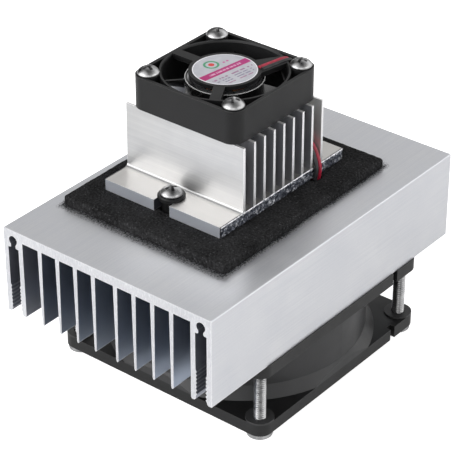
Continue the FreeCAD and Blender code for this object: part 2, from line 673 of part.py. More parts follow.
def fan_body(side, name):
    return new_body(f"{side}_fan_{name}", *FAN_PLACE[side])


def ring(body, inner, outer, low, high):
    """A plain ring about the body's Z axis, from one revolved rectangle."""
    sketch = new_sketch(body, "XZ_Plane")
    rectangle(sketch, inner, outer, low, high)
    return turn(body, sketch)


def motor_base(body, fan):
    """Motor base disc with its bearing tube, and the struts that hold it in the duct."""
    side = fan.side
    hollow = f"{side}_bearing_dia/2 + seat_gap"
    rim = f"{side}_base_dia/2"
    base = new_sketch(body, "XZ_Plane")
    outline(base, [
        (hollow, fan.tube_low), (fan.tube_outer, fan.tube_low), (fan.tube_outer, fan.base_low),
        (rim, fan.base_low), (rim, f"{side}_depth"), (hollow, f"{side}_depth")])
    turn(body, base)
    strut = new_sketch(body, "XY_Plane", f"{side}_depth - {side}_strut_thick")
    half = f"{side}_strut_width/2"
    rectangle(strut, f"-({fan.bore} + strut_overlap)", f"-({rim} - strut_overlap)", "-" + half, half)
    arm = pad(body, strut, f"{side}_strut_thick")
    polar(body, [arm], f"{side}_struts")


def at_each_hole(sketch, side, radius):
    half = hole_pitch(side) + "/2"
    for x in ("-", ""):
        for y in ("-", ""):
            circle(sketch, x + half, y + half, radius)


def screw_holes(body, side, depth):
    sketch = new_sketch(body, "XY_Plane", f"{side}_depth")
    at_each_hole(sketch, side, f"{side}_hole_dia/2")
    pocket(body, sketch, depth)


def hot_fan_frame():
    fan = FanSizes("hot")
    body = fan_body("hot", "frame")
    barrel = new_sketch(body, "XZ_Plane")
    bore = fan.bore
    outer = f"({bore} + hot_barrel_wall)"
    flare = f"({outer} + hot_flare_width)"
    outline(barrel, [
        (bore + " + hot_mouth", "0"), (flare, "0"), (flare, "hot_flange"),
        (outer, "hot_flange + hot_flare_height"), (outer, "hot_depth"),
        (bore + " + hot_mouth/2", "hot_depth"), (bore, "hot_depth - 2*hot_mouth"), (bore, "3*hot_mouth")])
    turn(body, barrel)
    for height in ("0", "hot_depth - hot_flange"):
        plate = new_sketch(body, "XY_Plane", height)
        rounded_square(plate, "hot_size", "hot_corner")
        circle(plate, "0", "0", bore + " + hot_mouth")
        pad(body, plate, "hot_flange")
    rings = new_sketch(body, "XY_Plane", "hot_flange")
    at_each_hole(rings, "hot", "hot_ring_dia/2")
    pad(body, rings, "hot_ring_height")
    # The flare and the rings are cut flush with the four sides
    trim = new_sketch(body, "XY_Plane")
    circle(trim, "0", "0", "hot_size")
    rounded_square(trim, "hot_size", "hot_corner")
    pocket(body, trim, "hot_depth", upwards=True)
    screw_holes(body, "hot", "hot_depth")
    notch = new_sketch(body, "XY_Plane")
    spot = "hot_size/2 - hot_notch_offset"
    rectangle(notch, "hot_size/2 - hot_notch_depth", "hot_size/2 + hot_notch_depth",
              f"{spot} - hot_notch_width/2", f"{spot} + hot_notch_width/2")
    pocket(body, notch, "hot_depth", upwards=True)
    motor_base(body, fan)


def coring_pocket():
    """Outline of a hollow beside a corner boss, between the barrel and the outer wall."""
    wall = "(cold_size/2 - cold_outer_wall)"
    barrel = f"({fan_bore('cold')}/2 + cold_barrel_wall)"
    boss = "(cold_boss_dia/2)"
    hole = f"({hole_pitch('cold')}/2)"
    far = f"(sqrt(2)*{hole})"
    along = f"(({barrel}^2 - {boss}^2 + {far}^2)/(2*{far}))"
    aside = f"sqrt({barrel}^2 - {along}^2)"
    low = f"sqrt({barrel}^2 - {wall}^2)"
    high = f"({hole} - sqrt({boss}^2 - ({wall} - {hole})^2))"
    meet_x = f"(({along} + {aside})/sqrt(2))"
    meet_y = f"(({along} - {aside})/sqrt(2))"
    # A point half way round each arc, found from the middle of its chord
    mid_x, mid_y = f"(({wall} + {meet_x})/2)", f"(({low} + {meet_y})/2)"
    reach = f"{barrel}/sqrt({mid_x}^2 + {mid_y}^2)"
    chord_x, chord_y = f"(({wall} + {meet_x})/2 - {hole})", f"(({high} + {meet_y})/2 - {hole})"
    push = f"{boss}/sqrt({chord_x}^2 + {chord_y}^2)"
    return [(wall, low),
            (wall, high, f"{hole} + {chord_x}*{push}", f"{hole} + {chord_y}*{push}"),
            (meet_x, meet_y, f"{mid_x}*{reach}", f"{mid_y}*{reach}")]


def cold_fan_frame():
    fan = FanSizes("cold")
    body = fan_body("cold", "frame")
    block = new_sketch(body, "XY_Plane")
    rounded_square(block, "cold_size", "cold_corner")
    pad(body, block, "cold_depth")
    bore = new_sketch(body, "XZ_Plane")
    outline(bore, [
        ("0", "0"), (fan.bore + " + cold_mouth", "0"), (fan.bore, "2*cold_mouth"),
        (fan.bore, "cold_depth - cold_mouth"), (fan.bore + " + cold_mouth/2", "cold_depth"),
        ("0", "cold_depth")])
    turn(body, bore, "Groove")
    hollows = new_sketch(body, "XY_Plane")
    corners = coring_pocket()
    outline(hollows, corners)
    # The hollow on the other side of the boss is the same one with x and y exchanged
    outline(hollows, [tuple(part for pair in zip(corner[1::2], corner[0::2]) for part in pair)
                      for corner in corners])
    cut = pocket(body, hollows, "cold_depth", upwards=True)
    polar(body, [cut], "4")
    screw_holes(body, "cold", "cold_depth")
    motor_base(body, fan)
    # One strut is widened on one side to carry the leads. They lie in a channel across it and drop
    # through the duct's wall into the hollow behind.
    wide = new_sketch(body, "XY_Plane", "cold_depth - cold_strut_thick")
    rim = "(cold_base_dia/2)"
    wall = f"({fan.bore} + strut_overlap)"
    bore_at = f"({fan.bore})"
    outer = "(lead_aside + lead_channel_width/2 + lead_wall)"
    inner = "(lead_aside - lead_channel_width/2 - lead_wall)"
    outline(wide, [(f"sqrt({rim}^2 - {outer}^2) - strut_overlap", "-" + outer),
                   (f"sqrt({wall}^2 - {outer}^2)", "-" + outer),
                   (f"sqrt({wall}^2 - {inner}^2)", "-" + inner),
                   (f"{rim} - 3*strut_overlap", f"-{inner}/6")])
    swing(wide, LEAD_ANGLE)
    pad(body, wide, "cold_strut_thick")
    recess = new_sketch(body, "XY_Plane", "cold_depth")
    circle(recess, "0", "0", "label_dia/2 + seat_gap")
    pocket(body, recess, "label_thick + label_gap")
    near, far = "(lead_aside - lead_channel_width/2)", "(lead_aside + lead_channel_width/2)"
    barrel = f"({fan.bore} + cold_barrel_wall)"
    channel = new_sketch(body, "XY_Plane", "cold_depth")
    rectangle(channel, "lead_start - 2*seat_gap", f"sqrt({bore_at}^2 - {far}^2)", "-" + far, "-" + near)
    swing(channel, LEAD_ANGLE)
    pocket(body, channel, "lead_channel_depth")
    gate = new_sketch(body, "XY_Plane", "cold_depth")
    rectangle(gate, f"sqrt({bore_at}^2 - {far}^2) - gate_overlap",
              f"sqrt({barrel}^2 - {near}^2) + gate_overlap", "-" + far, "-" + near)
    swing(gate, LEAD_ANGLE)
    pocket(body, gate, "lead_notch_depth")


def blade_section(sketch, run, rise, low, thick, bow):
    """A thin curved blade seen end on: it climbs towards +Y and is hollow on its upper face."""
    slope = f"sqrt(({run})^2 + ({rise})^2)"
    across, up = f"({rise})/{slope}", f"({run})/{slope}"
    middle, end = f"{low} + ({rise})/2", f"({run})/2"
    edge = f"({thick})/4"
    upper, lower = f"(({bow}) - ({thick})/2)", f"(({bow}) + ({thick})/2)"
    outline(sketch, [
        (f"-({end}) - {edge}*{across}", f"{low} + {edge}*{up}",
         f"{upper}*{across}", f"{middle} - {upper}*{up}"),
        (f"{end} - {edge}*{across}", f"{low} + {rise} + {edge}*{up}"),
        (f"{end} + {edge}*{across}", f"{low} + {rise} - {edge}*{up}",
         f"{lower}*{across}", f"{middle} - {lower}*{up}"),
        (f"-({end}) + {edge}*{across}", f"{low} - {edge}*{up}")])


def fan_impeller(side):
    """Moulded hub and blades: a turned hub, one lofted blade repeated round it, then bored out."""
    fan = FanSizes(side)
    body = fan_body(side, "impeller")
    hub = new_sketch(body, "XZ_Plane")
    rim = f"{side}_hub_dia/2"
    low, radius = f"{side}_hub_low", f"{side}_hub_round"
    bend = f"{radius}*(1 - sqrt(0.5))"
    outline(hub, [
        ("0", low), (f"{rim} - {radius}", low, f"{rim} - {bend}", f"{low} + {bend}"),
        (rim, f"{low} + {radius}"), (rim, fan.rim_top), ("0", fan.rim_top)])
    turn(body, hub)
    # The root starts where its corners are inside the hub's wall, and the tip ends past the trim
    thick = f"{side}_blade_thick"
    root_at = f"sqrt(({fan.hub_bore})^2 - ({side}_blade_root_run/2 + {thick})^2)"
    sections = []
    for end, place_of in (("root", root_at), ("tip", f"{fan.tip_radius} + {thick}")):
        section = new_sketch(body, "YZ_Plane", place_of)
        blade_section(section, f"{side}_blade_{end}_run",
                      f"({fan.blade_ceiling} - {side}_blade_{end}_drop)",
                      f"{side}_blade_low + {thick}/2", thick, f"{side}_blade_bow")
        sections.append(section)
    blade = feature(body, "AdditiveLoft", sections[0])
    blade.Sections = [sections[1]]
    polar(body, [blade], f"{side}_blades")
    # Turned by half a pitch, so that the seam of the trimming cylinder falls between two blades
    trim = new_sketch(body, "XY_Plane")
    swing(trim, 180.0 / value(f"{side}_blades"))
    circle(trim, "0", "0", f"{side}_size")
    circle(trim, "0", "0", fan.tip_radius)
    pocket(body, trim, f"{side}_depth", upwards=True)
    # The hollow for the rotor cup, with a socket for the shaft in a boss at its middle
    hollow = new_sketch(body, "XZ_Plane")
    socket = f"{side}_shaft_dia/2 + seat_gap"
    outline(hollow, [
        ("0", f"{low} + {side}_pin_gap"), (socket, f"{low} + {side}_pin_gap"), (socket, fan.hub_floor),
        (fan.hub_bore, fan.hub_floor), (fan.hub_bore, f"{side}_depth"), ("0", f"{side}_depth")])
    turn(body, hollow, "Groove")


def fan_rotor(side):
    """Steel cup, magnet ring, shaft and the clip that keeps the shaft in its bearing."""
    fan = FanSizes(side)
    cup = fan_body(side, "rotor_cup")
    shell = new_sketch(cup, "XZ_Plane")
    hole = f"{side}_shaft_dia/2 + seat_gap"
    floor = f"{fan.hub_floor} + seat_gap"
    outline(shell, [
        (hole, floor), (fan.cup_outer, floor), (fan.cup_outer, f"{fan.rim_top} + seat_gap"),
        (fan.cup_bore, f"{fan.rim_top} + seat_gap"), (fan.cup_bore, f"{fan.cup_floor} + seat_gap"),
        (hole, f"{fan.cup_floor} + seat_gap")])
    turn(cup, shell)
    magnet = fan_body(side, "magnet")
    ring(magnet, fan.magnet_bore, fan.magnet_outer, f"{fan.cup_floor} + {side}_magnet_inset",
         f"{fan.rim_top} - {side}_magnet_inset/2")
    shaft = fan_body(side, "shaft")
    pin = new_sketch(shaft, "XZ_Plane")
    radius, bevel = f"{side}_shaft_dia/2", f"{side}_shaft_dia/10"
    low, high = f"{side}_hub_low + {side}_pin_gap + seat_gap", f"{fan.clip_low} + 2*clip_thick"
    outline(pin, [
        ("0", low), (f"{radius} - {bevel}", low), (radius, f"{low} + {bevel}"),
        (radius, f"{high} - {bevel}"), (f"{radius} - {bevel}", high), ("0", high)])
    turn(shaft, pin)
    clip = fan_body(side, "clip")
    ring(clip, f"{radius} + seat_gap", f"{radius} + clip_width", fan.clip_low,
         f"{fan.clip_low} + clip_thick")


def fan_stator(side):
    """Bearing, laminated core with four poles, their windings and the drive board."""
    fan = FanSizes(side)
    bearing = fan_body(side, "bearing")
    ring(bearing, f"{side}_shaft_dia/2 + bearing_clearance", f"{side}_bearing_dia/2",
         f"{fan.bearing_top} - {side}_bearing_length", fan.bearing_top)

    core = fan_body(side, "stator_core")
    half_length = f"{side}_core_length/2"
    blank = new_sketch(core, "XY_Plane", f"{fan.middle} - {half_length}")
    circle(blank, "0", "0", fan.core_outer)
    circle(blank, "0", "0", fan.core_bore)
    pad(core, blank, f"{side}_core_length")
    slot = new_sketch(core, "XY_Plane", f"{fan.middle} - {half_length}")
    spread = f"({fan.arm}*sqrt(0.5))"
    inner = f"({fan.core_bore} + {side}_coil_build/2)"
    reach = f"(({fan.core_outer})*0.87)"
    corner = f"(({spread} + sqrt(2*{reach}^2 - {spread}^2))/2)"
    gap = f"({side}_coil_build*0.45)"
    outline(slot, [
        (inner, f"-({inner} - {spread})"), (corner, f"-({corner} - {spread})"), (reach, "-" + gap),
        (f"{fan.core_outer} + 1", "-" + gap), (f"{fan.core_outer} + 1", gap), (reach, gap),
        (corner, f"{corner} - {spread}"), (inner, f"{inner} - {spread}")])
    cut = pocket(core, slot, f"{side}_core_length", upwards=True)
    polar(core, [cut], "4")
    core.Placement = FreeCAD.Placement(core.Placement.Base,
                                       FreeCAD.Rotation(FreeCAD.Vector(0, 0, 1), 45))

    coils = fan_body(side, "coils")
    grip = f"({fan.arm}/2 + seat_gap)"
    build = f"{side}_coil_build"
    start = f"({fan.core_bore} + {build})"
    stop = f"({reach}*0.93 - 0.1)"
    block = new_sketch(coils, "YZ_Plane", start)
    rectangle(block, f"-({grip} + {build}/2)", f"{grip} + {build}/2",
              f"{fan.middle} - {half_length} - {build}/2", f"{fan.middle} + {half_length} + {build}/2")
    rectangle(block, "-" + grip, grip, f"{fan.middle} - {half_length} - seat_gap",
              f"{fan.middle} + {half_length} + seat_gap")
    winding = pad(coils, block, f"{stop} - {start}")
    polar(coils, [winding], "4")

    board = fan_body(side, "board")
    ring(board, fan.core_bore, f"{fan.core_outer} - {side}_coil_build/4",
         f"{fan.base_low} - {side}_board", fan.base_low)


def cold_fan_label():
    x, y, z = FAN_PLACE["cold"]
    label = doc.addObject("Part::Cylinder", "cold_fan_label")
    label.Label = "cold_fan_label"
    bind(label, "Radius", "label_dia/2")
    bind(label, "Height", "label_thick")
    place(label, x, y, f"{z} + cold_depth - label_thick")
    parts.append(label)


# Leads

def run_of_lead(points, diameter):
    """A round lead along straight runs joined by arcs, each as large as its two runs allow."""
    points = [FreeCAD.Vector(*point) for point in points]
    edges = []
    radii = []
    here = points[0]
    for before, corner, after in zip(points, points[1:], points[2:]):
        back = (before - corner).normalize()
        ahead = (after - corner).normalize()
        turn_angle = math.pi - back.getAngle(ahead)
        shorter = min((before - corner).Length, (after - corner).Length)
        trim = 0.45 * shorter
        radius = trim / math.tan(turn_angle / 2)
        begin = corner + back * trim
        finish = corner + ahead * trim
        inward = (back + ahead).normalize()
        middle = corner + inward * (radius / math.cos(turn_angle / 2) - radius)
        edges.append(Part.LineSegment(here, begin).toShape())
        edges.append(Part.Arc(begin, middle, finish).toShape())
        radii.append(round(radius, 2))
        here = finish
    edges.append(Part.LineSegment(here, points[-1]).toShape())
    path = Part.Wire(edges)
    rim = Part.Circle(points[0], points[1] - points[0], diameter / 2).toShape()
    tube = path.makePipeShell([Part.Wire([rim])], True, True)
    expected = math.pi * diameter ** 2 / 4 * path.Length
    print(f"lead length {path.Length:.1f}, radii {radii}, volume ratio {tube.Volume / expected:.4f}")
    return tube


def lead_foot(sign):
    """Where one of the two leads meets the module's lead below it: sideways, and its end's height."""
    across = value(f"chill_centre_y + {LEAD_Y} - lead_foot_shift") + sign * value("lead_foot_spread")
    return across, value(GAP_Z + " + module_plate + seat_gap + module_lead_dia")


def fan_leads():
    """Two leads from the motor base across a strut, down inside the frame and between the last two
    fins, then over the end of the cold sink into the slit of the foam."""
    centre_x, centre_y = value("chill_centre_x"), value("chill_centre_y")
    fan_z, base_z = value(TOP_FAN_Z), value(CHILL_Z + " + chill_base")
    diameter, rub = value("lead_dia"), value("lead_rub_gap")
    bed = fan_z + value("cold_depth - lead_channel_depth + seat_gap") + diameter / 2
    angle = math.radians(LEAD_ANGLE)
    ahead_x, ahead_y = math.cos(angle), math.sin(angle)
    # Inside the frame a lead has the outer wall on one side and the duct's wall on the other, and
    # below the frame the tip of the outer fin
    clear = value(fan_bore("cold") + "/2 + cold_barrel_wall") + diameter / 2 + rub
    drop_y = value("cold_size/2 - cold_outer_wall") - diameter / 2 - rub
    sink_y = min(drop_y, value(CHILL_OUTER + " - chill_fin_tip/2") - diameter / 2 - rub)
    slip_x = math.sqrt(clear ** 2 - sink_y ** 2) - math.sqrt(clear ** 2 - drop_y ** 2)
    end_x = centre_x + value(CHILL_LENGTH + "/2") + diameter / 2 + 2 * rub
    half_gap = value("lead_spacing") / 2
    for name, sign in (("red", 1), ("black", -1)):
        aside = value("lead_aside") - sign * half_gap
        start = value("lead_start")
        begin_x = centre_x + start * ahead_x + aside * ahead_y
        begin_y = centre_y + start * ahead_y - aside * ahead_x
        run = (centre_y + drop_y - begin_y) / ahead_y
        drop_x = begin_x + run * ahead_x
        bend = value("lead_bend_run")
        side_y = centre_y + value(LEAD_Y) + sign * half_gap
        foot_y, foot_z = lead_foot(sign)
        lip_x, lip_z = end_x + value("lead_lip_run"), base_z + value("lead_lip_rise")
        lip_y = side_y + (foot_y - side_y) * value("lead_lip_run")
        # The end leans, so it is raised until only its lowest point touches
        lean = math.hypot(lip_x - end_x, lip_y - foot_y) / (lip_z - foot_z)
        points = [
            (begin_x, begin_y, bed),
            (drop_x - bend * ahead_x, centre_y + drop_y - bend * ahead_y, bed),
            (drop_x, centre_y + drop_y, bed - value("lead_bend_drop")),
            (drop_x + slip_x / 2, centre_y + drop_y, bed - value("lead_first_drop")),
            (drop_x + slip_x, centre_y + sink_y, fan_z),
            (drop_x + value("lead_fin_run"), side_y, fan_z - value("lead_fin_drop")),
            (end_x - value("lead_sink_run"), side_y, base_z + value("lead_sink_rise")),
            (lip_x, lip_y, lip_z),
            (end_x, foot_y, foot_z + lean * diameter / 2)]
        plain_part(f"cold_fan_lead_{name}", run_of_lead(points, diameter))


def module_leads():
    """Short leads from the edge of the module to the foot of the fan's leads."""
    diameter = value("module_lead_dia")
    start = value("chill_centre_x + module_size/2 - module_seal_inset + seat_gap/2")
    stop = value(f"chill_centre_x + {CHILL_LENGTH}/2 + lead_dia + 2*lead_rub_gap")
    for name, sign in (("red", 1), ("black", -1)):
        across, top = lead_foot(sign)
        tube = Part.makeCylinder(diameter / 2, stop - start,
                                 FreeCAD.Vector(start, across, top - diameter / 2),
                                 FreeCAD.Vector(1, 0, 0))
        plain_part(f"module_lead_{name}", tube)


def build():
    hot_sink()
    cold_sink()
    clamp_bushes()
    clamp_screws()
    module_plates()
    module_seal()
    module_couples()
    foam_gasket()
    hot_fan_frame()
    cold_fan_frame()
    for side in ("hot", "cold"):
        fan_impeller(side)
        fan_rotor(side)
        fan_stator(side)
    cold_fan_label()
    hot_fan_screws()
    cold_fan_screws()
    fan_leads()
    module_leads()


def check():
    for thing in doc.Objects:
        if "Invalid" in thing.State or "Error" in thing.State:
            raise SystemExit(f"{thing.Label} failed: {thing.State}")
        if thing.isDerivedFrom("Sketcher::SketchObject") and thing.solve() != 0:
            raise SystemExit(f"{thing.Label} does not solve")
        if thing.TypeId in ("PartDesign::Pocket", "PartDesign::Groove"):
            if thing.Shape.Volume > thing.BaseFeature.Shape.Volume - 1e-6:
                raise SystemExit(f"{thing.Label} cuts nothing")
    for part in parts:
        if part.Shape.isNull() or not part.Shape.isValid():
            raise SystemExit(f"{part.Label} has no valid shape")


build()
doc.recompute()
check()
os.makedirs("parts", exist_ok=True)
for part in parts:
    part.Shape.exportStep(f"parts/{part.Label}.step")
    box = part.Shape.BoundBox
    print(f"{part.Label:22s} solids {len(part.Shape.Solids):3d}  volume {part.Shape.Volume:10.1f}  "
          f"z {box.ZMin:6.2f} to {box.ZMax:6.2f}")
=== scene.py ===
import bmesh
import bpy
import json
import math
import random
from mathutils import Matrix, Vector, noise


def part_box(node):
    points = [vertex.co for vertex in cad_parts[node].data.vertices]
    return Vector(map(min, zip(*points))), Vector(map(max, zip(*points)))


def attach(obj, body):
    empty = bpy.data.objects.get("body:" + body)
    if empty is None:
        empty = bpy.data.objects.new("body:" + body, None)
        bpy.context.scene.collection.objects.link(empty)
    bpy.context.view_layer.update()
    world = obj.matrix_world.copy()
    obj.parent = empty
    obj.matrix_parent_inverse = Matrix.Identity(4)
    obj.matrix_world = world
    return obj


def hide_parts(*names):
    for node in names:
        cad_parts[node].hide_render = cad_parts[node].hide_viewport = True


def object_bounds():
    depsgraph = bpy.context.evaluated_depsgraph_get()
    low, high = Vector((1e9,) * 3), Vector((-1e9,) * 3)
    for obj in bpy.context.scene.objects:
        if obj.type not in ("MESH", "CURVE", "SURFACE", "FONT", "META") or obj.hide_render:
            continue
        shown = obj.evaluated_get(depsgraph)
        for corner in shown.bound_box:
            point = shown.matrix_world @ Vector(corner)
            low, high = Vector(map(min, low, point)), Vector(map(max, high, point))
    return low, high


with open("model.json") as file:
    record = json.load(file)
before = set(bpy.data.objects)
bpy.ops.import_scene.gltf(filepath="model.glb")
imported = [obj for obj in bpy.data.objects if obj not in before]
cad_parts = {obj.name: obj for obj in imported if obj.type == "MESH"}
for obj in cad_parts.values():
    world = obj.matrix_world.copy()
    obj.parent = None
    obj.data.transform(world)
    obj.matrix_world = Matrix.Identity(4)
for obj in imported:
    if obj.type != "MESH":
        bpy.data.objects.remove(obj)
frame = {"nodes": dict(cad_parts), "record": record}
CAD_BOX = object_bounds()
NODES = frame["nodes"]
random.seed(11)

MM = 0.001


def span(node):
    """Lowest and highest corner of a node, in metres."""
    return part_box(node)


def centre_of(node):
    low, high = span(node)
    return (low + high) / 2


# Shader building

class Wire:
    """An output of a shader node. It takes part in arithmetic as a number does."""

    def __init__(self, finish, socket):
        self.finish = finish
        self.socket = socket

    def sum(self, operation, *values):
        sockets = {place: value for place, value in enumerate(values)}
        return self.finish.node("Math", {"operation": operation}, sockets)

    def __add__(self, other):
        return self.sum("ADD", self, other)

    __radd__ = __add__

    def __sub__(self, other):
        return self.sum("SUBTRACT", self, other)

    def __rsub__(self, other):
        return self.sum("SUBTRACT", other, self)

    def __mul__(self, other):
        return self.sum("MULTIPLY", self, other)

    __rmul__ = __mul__

    def __truediv__(self, other):
        return self.sum("DIVIDE", self, other)

    def __rtruediv__(self, other):
        return self.sum("DIVIDE", other, self)

    def __abs__(self):
        return self.sum("ABSOLUTE", self)

    def __gt__(self, other):
        return self.sum("GREATER_THAN", self, other)

    def __lt__(self, other):
        return self.sum("LESS_THAN", self, other)

    def root(self):
        return self.sum("SQRT", self)

    def larger(self, other):
        return self.sum("MAXIMUM", self, other)


class Finish:
    """A material being built. Its coordinates are those of the frame, in metres."""

    def __init__(self, name, **constants):
        self.material = bpy.data.materials.new(name)
        self.material.use_nodes = True
        self.tree = self.material.node_tree
        self.shader = self.tree.nodes["Principled BSDF"]
        for socket, value in constants.items():
            self.shader.inputs[socket.replace("_", " ")].default_value = value
        self.place = self.node("TexCoord", output="Object")
        self.facing = self.node("TexCoord", output="Normal")

    def node(self, kind, settings=None, sockets=None, output=0):
        made = self.tree.nodes.new("ShaderNode" + kind)
        for setting, value in (settings or {}).items():
            if setting == "stops":
                ramp = made.color_ramp
                while len(ramp.elements) < len(value):
                    ramp.elements.new(0.5)
                for element, (position, colour) in zip(ramp.elements, value):
                    element.position = position
                    element.color = (*colour, 1.0)
            else:
                setattr(made, setting, value)
        for socket, value in (sockets or {}).items():
            if isinstance(value, Wire):
                self.tree.links.new(value.socket, made.inputs[socket])
            else:
                made.inputs[socket].default_value = value
        return Wire(self, made.outputs[output])

    def link(self, **wires):
        for socket, wire in wires.items():
            self.tree.links.new(wire.socket, self.shader.inputs[socket.replace("_", " ")])
        return self

    def part_of(self, vector, axis):
        return self.node("SeparateXYZ", None, {0: vector}, "XYZ"["xyz".index(axis)])

    def stretched(self, x=1.0, y=1.0, z=1.0):
        """Coordinates in which features are x, y and z millimetres across."""
        scales = tuple(1 / (size * MM) for size in (x, y, z))
        return self.node("VectorMath", {"operation": "MULTIPLY"}, {0: self.place, 1: scales})

    def grain(self, size, detail=3.0, rough=0.5):
        """Noise whose values lie about 0.5, with features size millimetres across."""
        return self.noise_at(self.place, 1 / (size * MM), detail, rough)

    def noise_at(self, at, scale=1.0, detail=2.0, rough=0.5):
        return self.node("TexNoise", None, {"Vector": at, "Scale": scale, "Detail": detail,
                                            "Roughness": rough})

    def cells(self, size):
        """Distance to the middle of the nearest cell, in cells that are size millimetres across."""
        return self.node("TexVoronoi", {"feature": "F1"}, {"Vector": self.place, "Scale": 1 / (size * MM)},
                         "Distance")

    def fit(self, value, low, high, to_low=0.0, to_high=1.0, smooth=False):
        """Carry a value from one range to another, without leaving it."""
        way = "SMOOTHSTEP" if smooth else "LINEAR"
        return self.node("MapRange", {"interpolation_type": way},
                         {0: value, 1: low, 2: high, 3: to_low, 4: to_high})

    def blend(self, amount, one, other):
        """Mix two colours; each is a wire or three numbers."""
        colours = [colour if isinstance(colour, Wire) else (*colour, 1.0) for colour in (one, other)]
        return self.node("Mix", {"data_type": "RGBA", "blend_type": "MIX", "clamp_factor": True},
                         {0: amount, 6: colours[0], 7: colours[1]}, 2)

    def ramp(self, value, *stops):
        return self.node("ValToRGB", {"stops": stops}, {0: value})

    def bump(self, height, depth, over=None):
        """Normal of a relief whose height wire spans depth metres."""
        sockets = {"Height": height, "Distance": depth, "Strength": 1.0}
        if over:
            sockets["Normal"] = over
        return self.node("Bump", None, sockets, "Normal")

    def edges(self, radius):
        """1 on sharp edges of the solid, 0 away from them."""
        soft = self.node("Bevel", {"samples": 6}, {"Radius": radius})
        true = self.node("NewGeometry", output="Normal")
        along = self.node("VectorMath", {"operation": "DOT_PRODUCT"}, {0: soft, 1: true}, "Value")
        return self.fit(1 - along, 0.02, 0.22)


# Hot sink. Its reaches go out from the middle along X

SINK_PLATE = 3.1 * MM
CHANNEL_REACH = 32.0 * MM
CHANNEL_FOOT = 15 * MM
FIRST_CHANNEL, SECOND_CHANNEL, LAST_CHANNEL = -30 * MM, -14 * MM, 30 * MM
SLOT_REACH = 39.2 * MM
SLOT_LIP = 0.6 * MM
HALO_WIDTH = 3.6 * MM
HALO_SHAKE = 3 * MM
HALO_STRENGTH = 0.42
HALO_SQUEEZE = 1.9
TOP_SKIN = 0.2 * MM

SATIN = (0.61, 0.62, 0.655), (0.695, 0.70, 0.72)
SCRATCH = (0.92, 0.92, 0.94)
CHANNEL_PAINTED_SHADE = (0.045, 0.057, 0.085), (0.55, 0.62, 0.74)
SLOT_PAINTED_SHADE = (0.32, 0.335, 0.38)
SATIN_EDGE_HIGHLIGHT = (0.95, 0.95, 0.97)
CRUMB_AND_SHADOW = (0.03, 0.03, 0.033)


def foam_crumbs_and_shadow(f, x, y, shake):
    """Strength of the crumbs and painted contact shadow round the foam: full at the foam's edge, falling
    to 0 a halo's width away, and sooner along X.
    """
    low, high = span("foam_gasket")
    middle, half = (low + high) / 2, (high - low) / 2
    out_x = (abs(x - middle.x) - half.x).larger(0.0) * HALO_SQUEEZE
    out_y = (abs(y - middle.y) - half.y).larger(0.0)
    away = (out_x * out_x + out_y * out_y).root() + shake
    return f.fit(away, 0.0, HALO_WIDTH, HALO_STRENGTH, 0.0)


def extruded_aluminium():
    """Satin extrusion: faint streaks along Y, scratched ends, painted shade on the fins inside the air
    channels and in the slots,
     painted highlights on its edges, and dark crumbs round the foam's edge that also paint its contact
     shadow."""
    f = Finish("extruded_aluminium", Metallic=0.9)
    low, high = span("hot_sink")
    x, y, z = (f.part_of(f.place, axis) for axis in "xyz")
    streaks = f.noise_at(f.stretched(0.5, 45, 0.5), 1.0, 2.0, 0.6)
    speck = f.grain(0.5, 2.0)
    cloud = f.grain(11, 3.0)
    tone = f.fit(streaks * 0.4 + speck * 0.2 + cloud * 0.4, 0.36, 0.64)
    colour = f.blend(tone, *SATIN)
    end = abs(f.part_of(f.facing, "y")) > 0.5
    scratches = f.fit(f.noise_at(f.stretched(0.35, 6, 2.2), 1.0, 3.0, 0.7), 0.5, 0.66)
    colour = f.blend(end * scratches * 0.55, colour, SCRATCH)
    # Fin faces inside the channels get painted shade, bluish, with painted light strongest at the foot on
    # the right
    below = z < high.z - SINK_PLATE
    channel_shade = below * (abs(x) < CHANNEL_REACH) * (abs(f.part_of(f.facing, "x")) > 0.5)
    foot = f.fit(z, low.z, low.z + CHANNEL_FOOT, 1.0, 0.0, smooth=True)
    pale = f.fit(x, FIRST_CHANNEL, SECOND_CHANNEL, 0.26, 0.42)
    pale = pale + foot * f.fit(x, FIRST_CHANNEL, LAST_CHANNEL, -0.04, 0.3)
    colour = f.blend(channel_shade, colour, f.blend(pale, *CHANNEL_PAINTED_SHADE))
    # The walls of the slots and keyholes get painted shade too
    slot = (z < high.z - SLOT_LIP) * (abs(x) > CHANNEL_REACH) * (abs(x) < SLOT_REACH) * (1 - end)
    colour = f.blend(slot, colour, SLOT_PAINTED_SHADE)
    # Painted highlight along the edges, weaker in the slots
    rim = f.edges(0.6 * MM) * (1 - slot * 0.3)
    colour = f.blend(rim * 0.9, colour, SATIN_EDGE_HIGHLIGHT)
    # Dark crumbs round the foam, densest at its edge, also stand in as its painted contact shadow
    halo = foam_crumbs_and_shadow(f, x, y, (cloud - 0.5) * HALO_SHAKE)
    crumbs = f.fit(f.grain(0.42, 2.0, 0.7) + halo, 0.58, 0.90, 0.0, 0.95)
    crumbs = crumbs * f.fit(halo, 0.0, 0.08) * (z > high.z - TOP_SKIN)
    colour = f.blend(crumbs, colour, CRUMB_AND_SHADOW)
    rough = f.fit(cloud + speck * 0.3, 0.5, 0.8, 0.36, 0.45) + crumbs * 0.3
    relief = f.bump(streaks, 0.008 * MM, f.bump(speck, 0.02 * MM))
    return f.link(Base_Color=colour, Roughness=rough, Normal=relief).material


# Cold sink. Its reaches go out from the middle along Y

CHILL_BASE = 3.7 * MM
FOOT_ROUND = 1.1 * MM
FOOT_CORNER = 0.6 * MM
FIN_TIP = 0.1 * MM
BETWEEN_FINS = 19.0 * MM
FIN_FEET = 21.0 * MM
FIRST_GAP = 14.8 * MM
LAST_GAP = 17.0 * MM
LAST_FIN = 19.4 * MM

